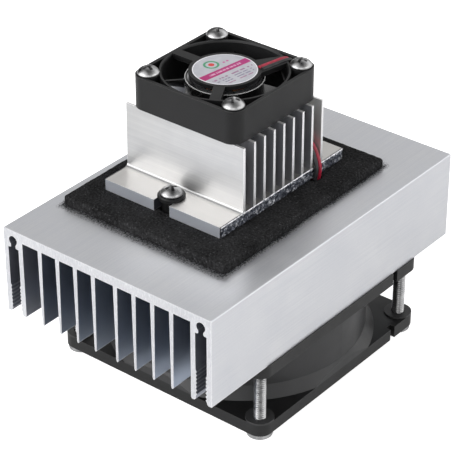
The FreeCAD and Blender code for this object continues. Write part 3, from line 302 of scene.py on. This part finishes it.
BRUSHED = (0.51, 0.512, 0.52), (0.61, 0.61, 0.605)
BASE_TOP_PAINTED_LIGHT = (0.69, 0.665, 0.635)
BASE_SIDE_PAINTED_LIGHT = (0.73, 0.77, 0.86)
BASE_END = (0.16, 0.17, 0.20)
FOOT_PAINTED_SHADE = (0.42, 0.42, 0.42)
FIN_WALL_PAINTED_SHADE = (0.43, 0.435, 0.46)
FIRST_WALL_PAINTED_LIGHT = (0.60, 0.60, 0.61)
LAST_WALL_PAINTED_LIGHT = (0.90, 0.90, 0.87)
FIN_END_PALE_AND_HIGHLIGHT = (0.93, 0.93, 0.93)
FIN_EDGE_HIGHLIGHT = (0.97, 0.97, 0.97)


def brushed_aluminium():
    """Fins brushed along X with pale cut ends and tips that carry a painted highlight, painted shade
    between the fins, on a base whose top is painted warmer and whose sides are painted paler and bluish as
    painted light.
    """
    f = Finish("brushed_aluminium", Metallic=0.85)
    low, high = span("cold_sink")
    middle = centre_of("cold_sink")
    base_top = low.z + CHILL_BASE
    y, z = f.part_of(f.place, "y"), f.part_of(f.place, "z")
    facing_x, facing_y, facing_z = (abs(f.part_of(f.facing, axis)) for axis in "xyz")
    brushing = f.noise_at(f.stretched(30, 0.4, 0.4), 1.0, 3.0, 0.6)
    broad = f.noise_at(f.stretched(60, 1.6, 1.6), 1.0, 2.0)
    cloud = f.grain(9, 3.0)
    tone = f.fit(brushing * 0.45 + broad * 0.25 + cloud * 0.3, 0.36, 0.64)
    colour = f.blend(tone, *BRUSHED)
    end = facing_x > 0.7
    fin = z > base_top
    # The base's upward faces are painted paler and warmer as painted light
    colour = f.blend((1 - fin) * (facing_z > 0.9) * 0.6, colour, BASE_TOP_PAINTED_LIGHT)
    # Walls between the fins and the rounds at their feet get painted shade
    round_foot = (z < base_top + FOOT_ROUND) * (facing_z > 0.12) * (facing_z < 0.97)
    colour = f.blend(fin * round_foot, colour, FOOT_PAINTED_SHADE)
    between = fin * (facing_y > 0.5) * (abs(y - middle.y) < BETWEEN_FINS)
    colour = f.blend(between, colour, FIN_WALL_PAINTED_SHADE)
    # More light reaches the first and the last gap, so their walls get paler painted light
    colour = f.blend(between * (y < middle.y - FIRST_GAP), colour, FIRST_WALL_PAINTED_LIGHT)
    last = (y > middle.y + LAST_GAP) * (y < middle.y + LAST_FIN)
    colour = f.blend(fin * (facing_y > 0.5) * last, colour, LAST_WALL_PAINTED_LIGHT)
    # The base's sides are painted paler and bluish as painted light
    colour = f.blend((1 - fin) * (facing_y > 0.5) * 0.75, colour, BASE_SIDE_PAINTED_LIGHT)
    # Fin ends and tips are near white: pale cut metal together with a painted highlight
    colour = f.blend(end * fin, colour, FIN_END_PALE_AND_HIGHLIGHT)
    colour = f.blend(end * (1 - fin), colour, BASE_END)
    colour = f.blend(z > high.z - FIN_TIP, colour, FIN_END_PALE_AND_HIGHLIGHT)
    # Painted highlight on its corners, but not on the hollow ones along the fins' feet
    feet = (abs(z - base_top) < FOOT_CORNER) * (abs(y - middle.y) < FIN_FEET) * (1 - end)
    rim = f.edges(0.3 * MM) * (1 - feet)
    colour = f.blend(rim * 0.85, colour, FIN_EDGE_HIGHLIGHT)
    rough = f.fit(brushing, 0.35, 0.65, 0.36, 0.44)
    relief = f.bump(brushing, 0.012 * MM)
    return f.link(Base_Color=colour, Roughness=rough, Normal=relief).material


SAWN_LIP = 0.3 * MM
TORN = (0.40, (0.04, 0.045, 0.06)), (0.54, (0.14, 0.15, 0.18)), (0.64, (0.60, 0.61, 0.64))
LIP_HIGHLIGHT = (0.93, 0.93, 0.95)


def sawn_aluminium():
    """Torn metal left by the saw on the cut ends: dark blue-grey with bright flecks and a painted
    highlight along its lip.
    """
    f = Finish("sawn_aluminium", Metallic=0.9, Roughness=0.42)
    torn = f.grain(1.15, 4.0, 0.7)
    # Painted highlight along the top lip of the cut end
    lip = f.part_of(f.place, "z") > span("cold_sink")[0].z + CHILL_BASE - SAWN_LIP
    colour = f.blend(lip * 0.8, f.ramp(torn, *TORN), LIP_HIGHLIGHT)
    return f.link(Base_Color=colour, Normal=f.bump(torn, 0.25 * MM)).material


# Fans

FAN_FLANGE = 4.0 * MM
HUB_RADIUS = 12.0 * MM
HUB_SKIN = 0.2 * MM

BARREL_PAINTED_LIGHT = (0.03, 0.03, 0.031)
HUB_HIGHLIGHT = (0.75, 0.75, 0.75)


def moulded_plastic(name, shade, low=0.36, high=0.5, gloss=0.35, painted_light=None):
    """Black moulding: cloudy matt skin with a painted highlight on its edges. Painted light, if given,
     gives where and in which colour it is painted paler."""
    f = Finish(name, Specular_IOR_Level=gloss)
    spark = f.grain(0.27, 2.0)
    cloud = f.grain(8, 3.0)
    dark, light = (tuple(part * c for c in shade) for part in (0.8, 1.25))
    colour = f.blend(f.fit(cloud * 0.6 + spark * 0.4, 0.38, 0.62), dark, light)
    if painted_light:
        where, tint = painted_light(f)
        colour = f.blend(where, colour, tint)
    # Painted highlight on the edges
    edge_highlight = tuple(2.6 * c + 0.035 for c in shade)
    colour = f.blend(f.edges(0.3 * MM) * 0.75, colour, edge_highlight)
    rough = f.fit(cloud * 0.7 + spark * 0.3, 0.35, 0.65, low, high)
    return f.link(Base_Color=colour, Roughness=rough, Normal=f.bump(spark, 0.012 * MM)).material


def lit_barrel(f):
    """The large fan's barrel between its flanges, painted paler as painted light, since more light comes
    back from it.
    """
    low, high = span("hot_fan_frame")
    z = f.part_of(f.place, "z")
    return (z > low.z + FAN_FLANGE) * (z < high.z - FAN_FLANGE), BARREL_PAINTED_LIGHT


def hub_rim_highlight(f):
    """Painted highlight on the rim of the small fan's hub."""
    top = span("cold_fan_rotor_cup")[1].z
    middle = centre_of("cold_fan_rotor_cup")
    x, y, z = (f.part_of(f.place, axis) for axis in "xyz")
    reach = ((x - middle.x) * (x - middle.x) + (y - middle.y) * (y - middle.y)).root()
    ring = (reach > HUB_RADIUS - 0.25 * MM) * (reach < HUB_RADIUS + 0.1 * MM)
    return ring * (z > top - HUB_SKIN), HUB_HIGHLIGHT


STEEL = (0.33, 0.33, 0.335), (0.47, 0.47, 0.47)
STEEL_HOLLOW_SHADE = (0.06, 0.06, 0.06)


def bright_steel():
    """Plated steel with faint stains and painted shade in its hollows."""
    f = Finish("bright_steel", Metallic=1.0)
    stain = f.grain(2.0, 3.0)
    hollow_shade = f.fit(f.node("NewGeometry", output="Pointiness"), 0.40, 0.50, 1.0, 0.0)
    colour = f.blend(hollow_shade, f.blend(f.fit(stain, 0.35, 0.65), *STEEL), STEEL_HOLLOW_SHADE)
    rough = f.fit(stain, 0.35, 0.65, 0.27, 0.36)
    relief = f.bump(f.grain(0.35, 2.0), 0.012 * MM)
    return f.link(Base_Color=colour, Roughness=rough, Normal=relief).material


FOAM = (0.005, 0.005, 0.0052), (0.037, 0.037, 0.0385)
LINT = (0.10, 0.10, 0.105)


def open_cell_foam():
    """Black foam: pores, grey crumbs and pale lint."""
    f = Finish("open_cell_foam", Specular_IOR_Level=0.09)
    pores = f.cells(0.75)
    crumbs = f.grain(0.75, 3.0, 0.7)
    lint = f.fit(f.noise_at(f.stretched(0.62, 0.5, 0.62), 1.0, 2.0, 0.6), 0.62, 0.70)
    cloud = f.grain(9, 3.0)
    colour = f.blend(f.fit(crumbs * 0.7 + cloud * 0.3, 0.38, 0.66), *FOAM)
    colour = f.blend(lint * 0.7, colour, LINT)
    rough = f.fit(crumbs, 0.3, 0.7, 0.85, 1.0)
    relief = f.bump(pores, 0.3 * MM, f.bump(crumbs, 0.35 * MM))
    return f.link(Base_Color=colour, Roughness=rough, Normal=relief).material


def lead_sheath(name, dark, light):
    f = Finish(name)
    cloud = f.grain(1.4, 2.0)
    colour = f.blend(f.fit(cloud, 0.35, 0.65), dark, light)
    rough = f.fit(cloud, 0.3, 0.7, 0.28, 0.42)
    return f.link(Base_Color=colour, Roughness=rough, Normal=f.bump(f.grain(0.4, 2.0), 0.02 * MM)).material


def mottled(name, dark, light, size=1.7, low=0.4, high=0.6, depth=0.01, **constants):
    """Plain finish of a hidden piece: cloudy colour, uneven gloss and a fine relief."""
    f = Finish(name, **constants)
    cloud = f.grain(size, 3.0)
    tone = f.fit(cloud, 0.35, 0.65)
    rough = f.fit(cloud, 0.3, 0.7, low, high)
    relief = f.bump(f.grain(size / 4, 2.0), depth * MM)
    return f.link(Base_Color=f.blend(tone, dark, light), Roughness=rough, Normal=relief).material


def layered(name, dark, light, scale, distortion, depth, rough, metal):
    """Fine layers along Z. Rough holds the roughness in the dark and on the light of a layer."""
    f = Finish(name, Metallic=metal)
    layer = f.node("TexWave", {"wave_type": "BANDS", "bands_direction": "Z"},
                   {"Vector": f.place, "Scale": scale, "Distortion": distortion})
    gloss = f.fit(layer, 0.0, 1.0, *rough)
    relief = f.bump(layer, depth * MM)
    return f.link(Base_Color=f.blend(layer, dark, light), Roughness=gloss, Normal=relief).material


def winding_wire():
    """Turns of enamelled wire, seen as fine ridges round the pole."""
    return layered("winding_wire", (0.10, 0.03, 0.01), (0.36, 0.15, 0.06), 1500.0, 0.6, 0.06,
                   (0.5, 0.28), 0.8)


def laminations():
    """Stacked sheets of steel."""
    return layered("laminations", (0.12, 0.12, 0.13), (0.5, 0.5, 0.52), 320.0, 0.2, 0.04,
                   (0.6, 0.35), 1.0)


def drive_board():
    """Green board with paler tracks."""
    f = Finish("drive_board")
    track = f.node("TexBrick", {"offset": 0.5}, {
        "Vector": f.place, "Color1": (0.02, 0.16, 0.07, 1), "Color2": (0.03, 0.24, 0.10, 1),
        "Mortar": (0.06, 0.35, 0.17, 1), "Scale": 900.0, "Mortar Size": 0.03})
    cloud = f.grain(1.2, 2.0)
    rough = f.fit(cloud, 0.3, 0.7, 0.3, 0.45)
    return f.link(Base_Color=track, Roughness=rough, Normal=f.bump(cloud, 0.02 * MM)).material


# Label. Its lengths are in millimetres, along and across the band

LABEL_LEAN = 82
LABEL_EDGE = 9.45
BAND_PLACE, BAND_HALF, BAND_DASHES = -0.1, 1.35, 0.42
DASH_REACH, ROW_REACH = 6.2, 8.6
RING_PLACE, RING_RADIUS, RING_HALF, RING_HEART = (-1.0, 4.9), 2.1, 0.36, 0.95
DOT_PLACES, DOT_RADIUS = ((2.9, 3.6), (4.3, 3.6)), 0.42

LABEL_FILM = (0.43, 0.435, 0.48), (0.54, 0.545, 0.58)
LABEL_RIM = (0.85, 0.84, 0.88)
MAGENTA = (0.40, 0.012, 0.14), (0.42, 0.018, 0.18)
PALE_PINK = (0.80, 0.50, 0.66)
RING_GREEN = (0.07, 0.30, 0.16)
HEART_RED = (0.62, 0.05, 0.05)
DOT_PINK = (0.55, 0.08, 0.30)
# Where each row of dashes lies, half its height, and its colour
DASH_ROWS = ((-3.4, 0.34, (0.30, 0.12, 0.24)), (-4.7, 0.26, (0.20, 0.17, 0.27)),
             (-5.9, 0.26, (0.20, 0.17, 0.27)), (-7.1, 0.26, (0.34, 0.14, 0.26)))


def printed_label(centre):
    """Pale film with a magenta band, rows of dashes, a ring and two dots."""
    f = Finish("printed_label", Specular_IOR_Level=0.3)
    from_centre = f.node("VectorMath", {"operation": "SUBTRACT"}, {0: f.place, 1: tuple(centre)})

    def along(degrees):
        angle = math.radians(degrees)
        direction = (math.cos(angle) / MM, math.sin(angle) / MM, 0)
        return f.node("VectorMath", {"operation": "DOT_PRODUCT"}, {0: from_centre, 1: direction}, "Value")

    def dashes(length, rows=None):
        spots = {0: u / length}
        if rows:
            spots[1] = v * rows
        return f.noise_at(f.node("CombineXYZ", None, spots), 1.0, 1.0)

    def distance_from(x, y):
        return ((u - x) * (u - x) + (v - y) * (v - y)).root()

    u, v = along(LABEL_LEAN), along(LABEL_LEAN + 90)
    radius = distance_from(0, 0)
    cloud = f.grain(3.8, 3.0)
    colour = f.blend(f.fit(cloud, 0.3, 0.7), *LABEL_FILM)
    from_band = abs(v - BAND_PLACE)
    colour = f.blend(from_band < BAND_HALF, colour, f.blend(f.fit(u, -10, 10), *MAGENTA))
    pale = (from_band < BAND_DASHES) * (abs(u) < DASH_REACH) * (dashes(0.7) > 0.46)
    colour = f.blend(pale * 0.7, colour, PALE_PINK)
    dash = dashes(1.1, 0.05) > 0.47
    for at, half, tint in DASH_ROWS:
        row = (abs(v - at) < half) * dash * (radius < ROW_REACH)
        colour = f.blend(row * 0.85, colour, tint)
    from_ring = distance_from(*RING_PLACE)
    colour = f.blend(abs(from_ring - RING_RADIUS) < RING_HALF, colour, RING_GREEN)
    colour = f.blend(from_ring < RING_HEART, colour, HEART_RED)
    for dot in DOT_PLACES:
        colour = f.blend(distance_from(*dot) < DOT_RADIUS, colour, DOT_PINK)
    colour = f.blend(radius > LABEL_EDGE, colour, LABEL_RIM)
    rough = f.fit(cloud, 0.3, 0.7, 0.28, 0.4)
    return f.link(Base_Color=colour, Roughness=rough, Normal=f.bump(cloud, 0.01 * MM)).material


FINISHES = {
    "hot_sink": extruded_aluminium(),
    "cold_sink": brushed_aluminium(),
    "sawn": sawn_aluminium(),
    "screw_steel": bright_steel(),
    "bush_nylon": moulded_plastic("nylon", (0.005, 0.005, 0.0052), 0.3, 0.42, gloss=0.3),
    "foam": open_cell_foam(),
    "ceramic": mottled("ceramic", (0.72, 0.72, 0.70), (0.86, 0.86, 0.84), 2.0, 0.45, 0.6),
    "leg": mottled("leg", (0.20, 0.20, 0.22), (0.42, 0.42, 0.45), 0.7, 0.3, 0.5, Metallic=1.0),
    "copper": winding_wire(),
    "link": mottled("link", (0.55, 0.25, 0.15), (0.80, 0.42, 0.28), 0.8, 0.25, 0.4, Metallic=1.0),
    "sealant": mottled("sealant", (0.62, 0.62, 0.60), (0.80, 0.80, 0.78), 1.4, 0.35, 0.55, 0.03),
    "hot_frame": moulded_plastic("large_fan_plastic", (0.007, 0.007, 0.0073), gloss=0.36, painted_light=lit_barrel),
    "cold_frame": moulded_plastic("small_fan_plastic", (0.0079, 0.0079, 0.0083), gloss=0.29),
    "impeller": moulded_plastic("blade_plastic", (0.007, 0.007, 0.0072), 0.18, 0.28, gloss=0.55,
                                painted_light=hub_rim_highlight),
    "cup_steel": mottled("cup_steel", (0.42, 0.42, 0.44), (0.62, 0.62, 0.63), 1.1, 0.25, 0.4,
                         Metallic=1.0),
    "magnet": mottled("magnet", (0.04, 0.04, 0.045), (0.09, 0.09, 0.095), 1.1, 0.6, 0.8),
    "shaft_steel": mottled("shaft_steel", (0.55, 0.55, 0.56), (0.72, 0.72, 0.73), 0.7, 0.12, 0.2,
                           Metallic=1.0),
    "bearing": mottled("bearing", (0.42, 0.28, 0.11), (0.62, 0.44, 0.20), 0.5, 0.4, 0.6, 0.03,
                       Metallic=1.0),
    "core_steel": laminations(),
    "board": drive_board(),
    "clip": mottled("clip", (0.70, 0.70, 0.68), (0.84, 0.84, 0.82), 1.1, 0.35, 0.5),
    "label": printed_label(centre_of("cold_fan_label")),
    "lead_red": lead_sheath("red_sheath", (0.27, 0.007, 0.023), (0.43, 0.015, 0.05)),
    "lead_black": lead_sheath("black_sheath", (0.008, 0.008, 0.009), (0.022, 0.022, 0.024)),
}


def put_on(thing, material):
    thing.data.materials.clear()
    thing.data.materials.append(material)


SLOT_OF = {row["node"]: row["material_slot"] for row in frame["record"]["subparts"]}
for node_name, node_object in NODES.items():
    finish_name = SLOT_OF[node_name]
    if node_name.endswith("_links"):
        finish_name = "link"
    put_on(node_object, FINISHES[finish_name])


# Modelled pieces

def place_in_scene(name, data):
    thing = bpy.data.objects.new(name, data)
    bpy.context.scene.collection.objects.link(thing)
    return thing


def mesh_from(name, shape):
    """Mesh of a finished bmesh, which is freed."""
    mesh = bpy.data.meshes.new(name)
    shape.to_mesh(mesh)
    shape.free()
    return mesh


def piece(name, mesh, slot, stands_for=(), smooth=True):
    thing = place_in_scene(name, mesh)
    for polygon in mesh.polygons:
        polygon.use_smooth = smooth
    put_on(thing, FINISHES[slot])
    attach(thing, "unit")
    if stands_for:
        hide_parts(*stands_for)
    return thing


def solid_of(thing):
    """Mesh of an object with its modifiers applied."""
    graph = bpy.context.evaluated_depsgraph_get()
    return bpy.data.meshes.new_from_object(thing.evaluated_get(graph))


# The foam swells fully from its free reach outside the cold sink on. A wave is given by how many
# there are in a metre and by its share; swell, drift and waves are in millimetres
FREE_REACH = 2 * MM
FOAM_WAVES = ((130, 0.35), (420, 0.3), (1100, 0.35))
SIDE_DRIFT = (95, 0.12)
SIDE_SWELL, SIDE_WAVE = 0.05, 0.22
TOP_SWELL, TOP_WAVE = 0.1, 0.28


def foam_pad():
    """Die-cut foam: an uneven face and edge, and a little swelling where nothing presses on it."""
    blank = place_in_scene("foam_blank", NODES["foam_gasket"].data.copy())
    remesh = blank.modifiers.new("remesh", "REMESH")
    remesh.mode = "VOXEL"
    remesh.voxel_size = 0.5 * MM
    relax = blank.modifiers.new("relax", "SMOOTH")
    relax.iterations = 1
    relax.factor = 0.5
    mesh = solid_of(blank)
    bpy.data.objects.remove(blank)
    middle = centre_of("foam_gasket").z
    sink_low, sink_high = span("cold_sink")
    for vertex in mesh.vertices:
        at = vertex.co.copy()
        outside = max(sink_low.x - at.x, at.x - sink_high.x, sink_low.y - at.y, at.y - sink_high.y)
        free = min(1.0, max(0.0, outside / FREE_REACH))
        wave = sum(noise.noise(at * pitch) * share for pitch, share in FOAM_WAVES)
        if abs(vertex.normal.z) < 0.5:
            drift = noise.noise(Vector((at.x, at.y, 0)) * SIDE_DRIFT[0]) * SIDE_DRIFT[1]
            outward = Vector((vertex.normal.x, vertex.normal.y, 0))
            vertex.co += outward * (SIDE_SWELL + drift + wave * SIDE_WAVE) * free * MM
        elif at.z > middle:
            vertex.co.z += (TOP_SWELL + TOP_WAVE * wave) * free * MM
    pad = piece("foam_pad", mesh, "foam", ("foam_gasket",))


# Screws. The recess is given in shares of the head's diameter and height
HEAD_SIDES = 40
DOME_STEPS = 12
FLANK = 0.6 * MM
HEAD_EDGE = 0.3 * MM
RECESS_WIDTH, RECESS_DEPTH, RECESS_TOP = 0.64, 0.72, 0.97
SHANK_SIDES = 28
NECK = 0.15 * MM
TIP = 0.9 * MM
STEPS_A_TURN = 6
CREASE = math.radians(38)


def cross_cutter(size, depth):
    """Tapered cross that cuts a driver recess down from z = 0."""
    shape = bmesh.new()
    # Height, half length and half width of each section of an arm
    sections = ((0.3 * depth, size * 0.54, size * 0.125), (0, size * 0.5, size * 0.115),
                (-depth, size * 0.22, size * 0.075))
    for turn in (0, 90):
        rings = []
        for z, reach, half in sections:
            ring = []
            for x, y in ((-reach, -half), (reach, -half), (reach, half), (-reach, half)):
                spun = Matrix.Rotation(math.radians(turn), 3, "Z") @ Vector((x, y, z))
                ring.append(shape.verts.new(spun))
            rings.append(ring)
        for lower, upper in zip(rings[1:], rings):
            for n in range(4):
                shape.faces.new((lower[n], lower[(n + 1) % 4], upper[(n + 1) % 4], upper[n]))
        shape.faces.new(rings[0])
        shape.faces.new(rings[-1][::-1])
    bmesh.ops.recalc_face_normals(shape, faces=shape.faces)
    return mesh_from("cross", shape)


def lathe(profile, around):
    """Closed solid turned from (radius, height) pairs; a radius may be a function of the angle."""
    shape = bmesh.new()
    rings = []
    for radius, height in profile:
        if not callable(radius) and radius == 0:
            rings.append([shape.verts.new((0, 0, height))])
            continue
        ring = []
        for n in range(around):
            angle = 2 * math.pi * n / around
            reach = radius(angle) if callable(radius) else radius
            ring.append(shape.verts.new((reach * math.cos(angle), reach * math.sin(angle), height)))
        rings.append(ring)
    for one, two in zip(rings, rings[1:]):
        for n in range(around):
            m = (n + 1) % around
            if len(one) == 1:
                shape.faces.new((one[0], two[n], two[m]))
            elif len(two) == 1:
                shape.faces.new((one[n], two[0], one[m]))
            else:
                shape.faces.new((one[n], two[n], two[m], one[m]))
    bmesh.ops.recalc_face_normals(shape, faces=shape.faces)
    return mesh_from("turned", shape)


def screw_head(head_dia, head_height, flank):
    """Domed head above z = 0 with an upright flank and a tapered cross recess."""
    edge = HEAD_EDGE
    rim = head_dia / 2
    rise = head_height - flank
    dome = (rise * rise + rim * rim) / (2 * rise)
    profile = [(0, head_height)]
    for step in range(1, DOME_STEPS + 1):
        reach = (rim - 0.25 * edge) * step / DOME_STEPS
        profile.append((reach, head_height - dome + math.sqrt(dome * dome - reach * reach)))
    profile += [(rim, flank - 0.55 * edge), (rim, 0.75 * edge), (rim - 0.35 * edge, 0.18 * edge),
                (rim - 1.1 * edge, 0.0), (0, 0.0)]
    body = place_in_scene("blank", lathe(profile, HEAD_SIDES))
    tool = place_in_scene("tool", cross_cutter(head_dia * RECESS_WIDTH, head_height * RECESS_DEPTH))
    tool.location = (0, 0, head_height * RECESS_TOP)
    bpy.context.view_layer.update()
    cut = body.modifiers.new("recess", "BOOLEAN")
    cut.object = tool
    cut.solver = "EXACT"
    cut.use_self = True
    mesh = solid_of(body)
    for thing in (body, tool):
        bpy.data.objects.remove(thing)
    return mesh


def screw_shank(dia, length, pitch):
    """Threaded rod below z = 0, with a plain neck and a tapered tip."""
    profile = [(0, NECK), (dia / 2, NECK), (dia / 2, -NECK)]
    depth = 0.6 * pitch
    total = int((length - TIP) / pitch * STEPS_A_TURN)
    for step in range(total):
        height = -NECK - (step + 1) * pitch / STEPS_A_TURN
        full = min(1.0, (total - step) / (2 * STEPS_A_TURN))

        def reach(angle, height=height, full=full):
            phase = (height / pitch + angle / (2 * math.pi)) % 1
            return dia / 2 * (0.82 + 0.18 * full) - depth * (1 - abs(2 * phase - 1))
        profile.append((reach, height))
    profile += [(dia * 0.25, -length), (0, -length)]
    return lathe(profile, SHANK_SIDES)


def pan_head_screw(head_dia, head_height, dia, length, pitch, flank=FLANK):
    shape = bmesh.new()
    shape.from_mesh(screw_head(head_dia, head_height, flank))
    shape.from_mesh(screw_shank(dia, length, pitch))
    return mesh_from("screw", shape)


def screws(name, node, sizes, spots, turns, upside_down=False):
    """Every screw of one node as a single piece, each with its recess turned its own way."""
    pattern = pan_head_screw(**sizes)
    flip = Matrix.Rotation(math.pi, 4, "X") if upside_down else Matrix.Identity(4)
    shape = bmesh.new()
    for spot, turn in zip(spots, turns):
        moved = pattern.copy()
        moved.transform(Matrix.Translation(spot) @ flip @ Matrix.Rotation(math.radians(turn), 4, "Z"))
        shape.from_mesh(moved)
    made = piece(name, mesh_from(name, shape), "screw_steel", (node,))
    crease = made.modifiers.new("creases", "EDGE_SPLIT")
    crease.split_angle = CREASE


def corners_about(middle, half, z):
    return [Vector((middle.x + a * half, middle.y + b * half, z))
            for a, b in ((1, 1), (-1, 1), (-1, -1), (1, -1))]


# Torn skin: cells along and up the face, then in millimetres how far its points stand out and stray,
# its lift off the face and its thickness
TORN_CELLS = (150, 10)
TORN_OUT = (0.02, 0.3)
TORN_STRAY = 0.12
TORN_LIFT = 0.01
TORN_DEPTH = 0.3


def sawn_face(name, side):
    """Torn skin on one sawn end of the cold sink's base."""
    low, high = span("cold_sink")
    base_top = low.z + CHILL_BASE
    across, up = TORN_CELLS
    face = high.x if side > 0 else low.x
    shape = bmesh.new()
    grid = []
    for row in range(up + 1):
        line = []
        for column in range(across + 1):
            y = low.y + (high.y - low.y) * column / across
            z = low.z + (base_top - low.z) * row / up
            edge = row in (0, up) or column in (0, across)
            out = 0.0 if edge else random.uniform(*TORN_OUT)
            stray = 0.0 if edge else TORN_STRAY
            line.append(shape.verts.new((face + side * (out + TORN_LIFT) * MM,
                                         y + random.uniform(-stray, stray) * MM,
                                         z + random.uniform(-stray, stray) * MM)))
        grid.append(line)
    for row in range(up):
        for column in range(across):
            a, b = grid[row][column], grid[row][column + 1]
            c, d = grid[row + 1][column + 1], grid[row + 1][column]
            for corners in ((a, b, c), (a, c, d)):
                shape.faces.new(corners)
    edges = [edge for edge in shape.edges if len(edge.link_faces) == 1]
    back = bmesh.ops.extrude_edge_only(shape, edges=edges)["geom"]
    for vertex in (item for item in back if isinstance(item, bmesh.types.BMVert)):
        vertex.co.x -= side * TORN_DEPTH * MM
    bmesh.ops.holes_fill(shape, edges=[edge for edge in shape.edges if len(edge.link_faces) == 1], sides=0)
    bmesh.ops.recalc_face_normals(shape, faces=shape.faces)
    made = piece(name, mesh_from(name, shape), "cold_sink", smooth=False)
    put_on(made, FINISHES["sawn"])


# The screws' sizes, and how far their holes lie from the middle
SMALL_FAN_SCREW = {"head_dia": 6.8 * MM, "head_height": 2.36 * MM, "dia": 4.0 * MM, "length": 18 * MM,
                   "pitch": 0.7 * MM}
LARGE_FAN_SCREW = {"head_dia": 8.0 * MM, "head_height": 2.53 * MM, "dia": 3.9 * MM, "length": 33 * MM,
                   "pitch": 0.75 * MM, "flank": 1.5 * MM}
CLAMP_SCREW = {"head_dia": 6.9 * MM, "head_height": 2.4 * MM, "dia": 4.0 * MM, "length": 12 * MM,
               "pitch": 0.7 * MM}
SMALL_FAN_HOLE = 16 * MM
LARGE_FAN_HOLE = 35.75 * MM
CLAMP_HOLE = 25.15 * MM

foam_pad()
small_fan_spots = corners_about(centre_of("cold_fan_frame"), SMALL_FAN_HOLE, span("cold_fan_frame")[1].z)
screws("small_fan_screws", "cold_fan_screws", SMALL_FAN_SCREW, small_fan_spots, (12, 50, 75, 30))
large_fan_spots = corners_about(centre_of("hot_fan_frame"), LARGE_FAN_HOLE, span("hot_fan_frame")[0].z)
screws("large_fan_screws", "hot_fan_screws", LARGE_FAN_SCREW, large_fan_spots, (20, 65, 5, 40), True)
clamp_middle, clamp_top = centre_of("clamp_bushes"), span("clamp_bushes")[1].z
clamp_spots = [Vector((clamp_middle.x, clamp_middle.y + side * CLAMP_HOLE, clamp_top)) for side in (1, -1)]
screws("clamp_screws_threaded", "clamp_screws", CLAMP_SCREW, clamp_spots, (25, 60))
for end_name, end_side in (("sawn_end_right", 1), ("sawn_end_left", -1)):
    sawn_face(end_name, end_side)


# Stage

FLOOR_HALF = 4
FLOOR_DROP = 0.0002
FLOOR_SEEN = 0.8
FLOOR_IN_METAL = 0.15
FLOOR_SHADES = (0.88, 0.88, 0.885), (0.9, 0.9, 0.9)


def ray(f, kind):
    """1 for rays of one kind, 0 for others."""
    return f.node("LightPath", output=f"Is {kind} Ray")


def studio_floor():
    """White to the camera and through clear things, faint in metal, and it keeps the shadow."""
    f = Finish("studio_floor", Specular_IOR_Level=0.0, Roughness=1.0)
    f.link(Base_Color=f.blend(f.grain(330, 2.0), *FLOOR_SHADES))
    seen = ray(f, "Camera") + ray(f, "Transmission")
    strength = seen * FLOOR_SEEN + ray(f, "Glossy") * FLOOR_IN_METAL
    glow = f.node("Emission", None, {"Color": (1, 1, 1, 1), "Strength": strength})
    both = f.node("AddShader", None, {0: Wire(f, f.shader.outputs[0]), 1: glow})
    f.tree.links.new(both.socket, f.tree.nodes["Material Output"].inputs["Surface"])
    return f.material


def floor():
    shape = bmesh.new()
    bmesh.ops.create_grid(shape, x_segments=8, y_segments=8, size=FLOOR_HALF)
    made = place_in_scene("floor", mesh_from("floor", shape))
    made.location.z = CAD_BOX[0][2] - FLOOR_DROP
    put_on(made, studio_floor())


class Sky(Finish):
    """The world's shader tree, built with the same methods."""

    def __init__(self):
        world = bpy.data.worlds.new("studio")
        bpy.context.scene.world = world
        world.use_nodes = True
        self.tree = world.node_tree


# Wide soft glows of the room: elevation, bearing from +X in degrees, and strength. A glow ends where
# the cosine of the angle from its middle falls to its edge's value
GLOWS = ((12, 0, 0.83), (12, 60, 1.44), (12, 240, 3.30), (12, 300, 1.39), (38, 60, 0.37), (38, 120, 0.80),
         (38, 240, 1.43), (38, 300, 0.39), (62, 90, 0.04))
GLOW_EDGE = 0.72


def studio_world():
    """A white room lit by wide soft glows."""
    sky = Sky()
    room = sky.tree.nodes["Background"]
    room.inputs["Color"].default_value = (1.0, 1.0, 1.0, 1.0)
    way = sky.node("TexCoord", output="Generated")
    light = 0.0
    for elevation, bearing, strength in GLOWS:
        rise, turn = math.radians(elevation), math.radians(bearing)
        aim = (math.cos(rise) * math.cos(turn), math.cos(rise) * math.sin(turn), math.sin(rise))
        towards = sky.node("VectorMath", {"operation": "DOT_PRODUCT"}, {0: way, 1: aim}, "Value")
        light = light + sky.fit(towards, GLOW_EDGE, 1.0, 0.0, strength, smooth=True)
    seen = ray(sky, "Camera") + ray(sky, "Transmission")
    strength = light * (1 - seen) + seen
    sky.tree.links.new(strength.socket, room.inputs["Strength"])


def aimed(name, data, place, target):
    """Object at a place that looks at a target."""
    made = place_in_scene(name, data)
    made.location = place
    made.rotation_euler = (target - place).to_track_quat("-Z", "Y").to_euler()
    return made


def soft_box(name, place, target, width, height, power):
    lamp = bpy.data.lights.new(name, "AREA")
    lamp.shape = "RECTANGLE"
    lamp.size = width
    lamp.size_y = height
    lamp.energy = power
    aimed(name, lamp, place, target)


def camera(place, target, focal):
    lens = bpy.data.cameras.new("camera")
    lens.sensor_width = 36.0
    lens.lens = focal
    lens.clip_start = 0.01
    bpy.context.scene.camera = aimed("camera", lens, place, target)


camera(Vector((0.3327, -0.4168, 0.3748)), Vector((-0.0018, -0.0007, 0.0429)), focal=162.07)
floor()
studio_world()
soft_box("fill", Vector((1.4, 0.3, 0.9)), Vector((0, 0, 0.05)), width=1.0, height=0.8, power=3.7)
bpy.context.scene.view_settings.view_transform = "Standard"
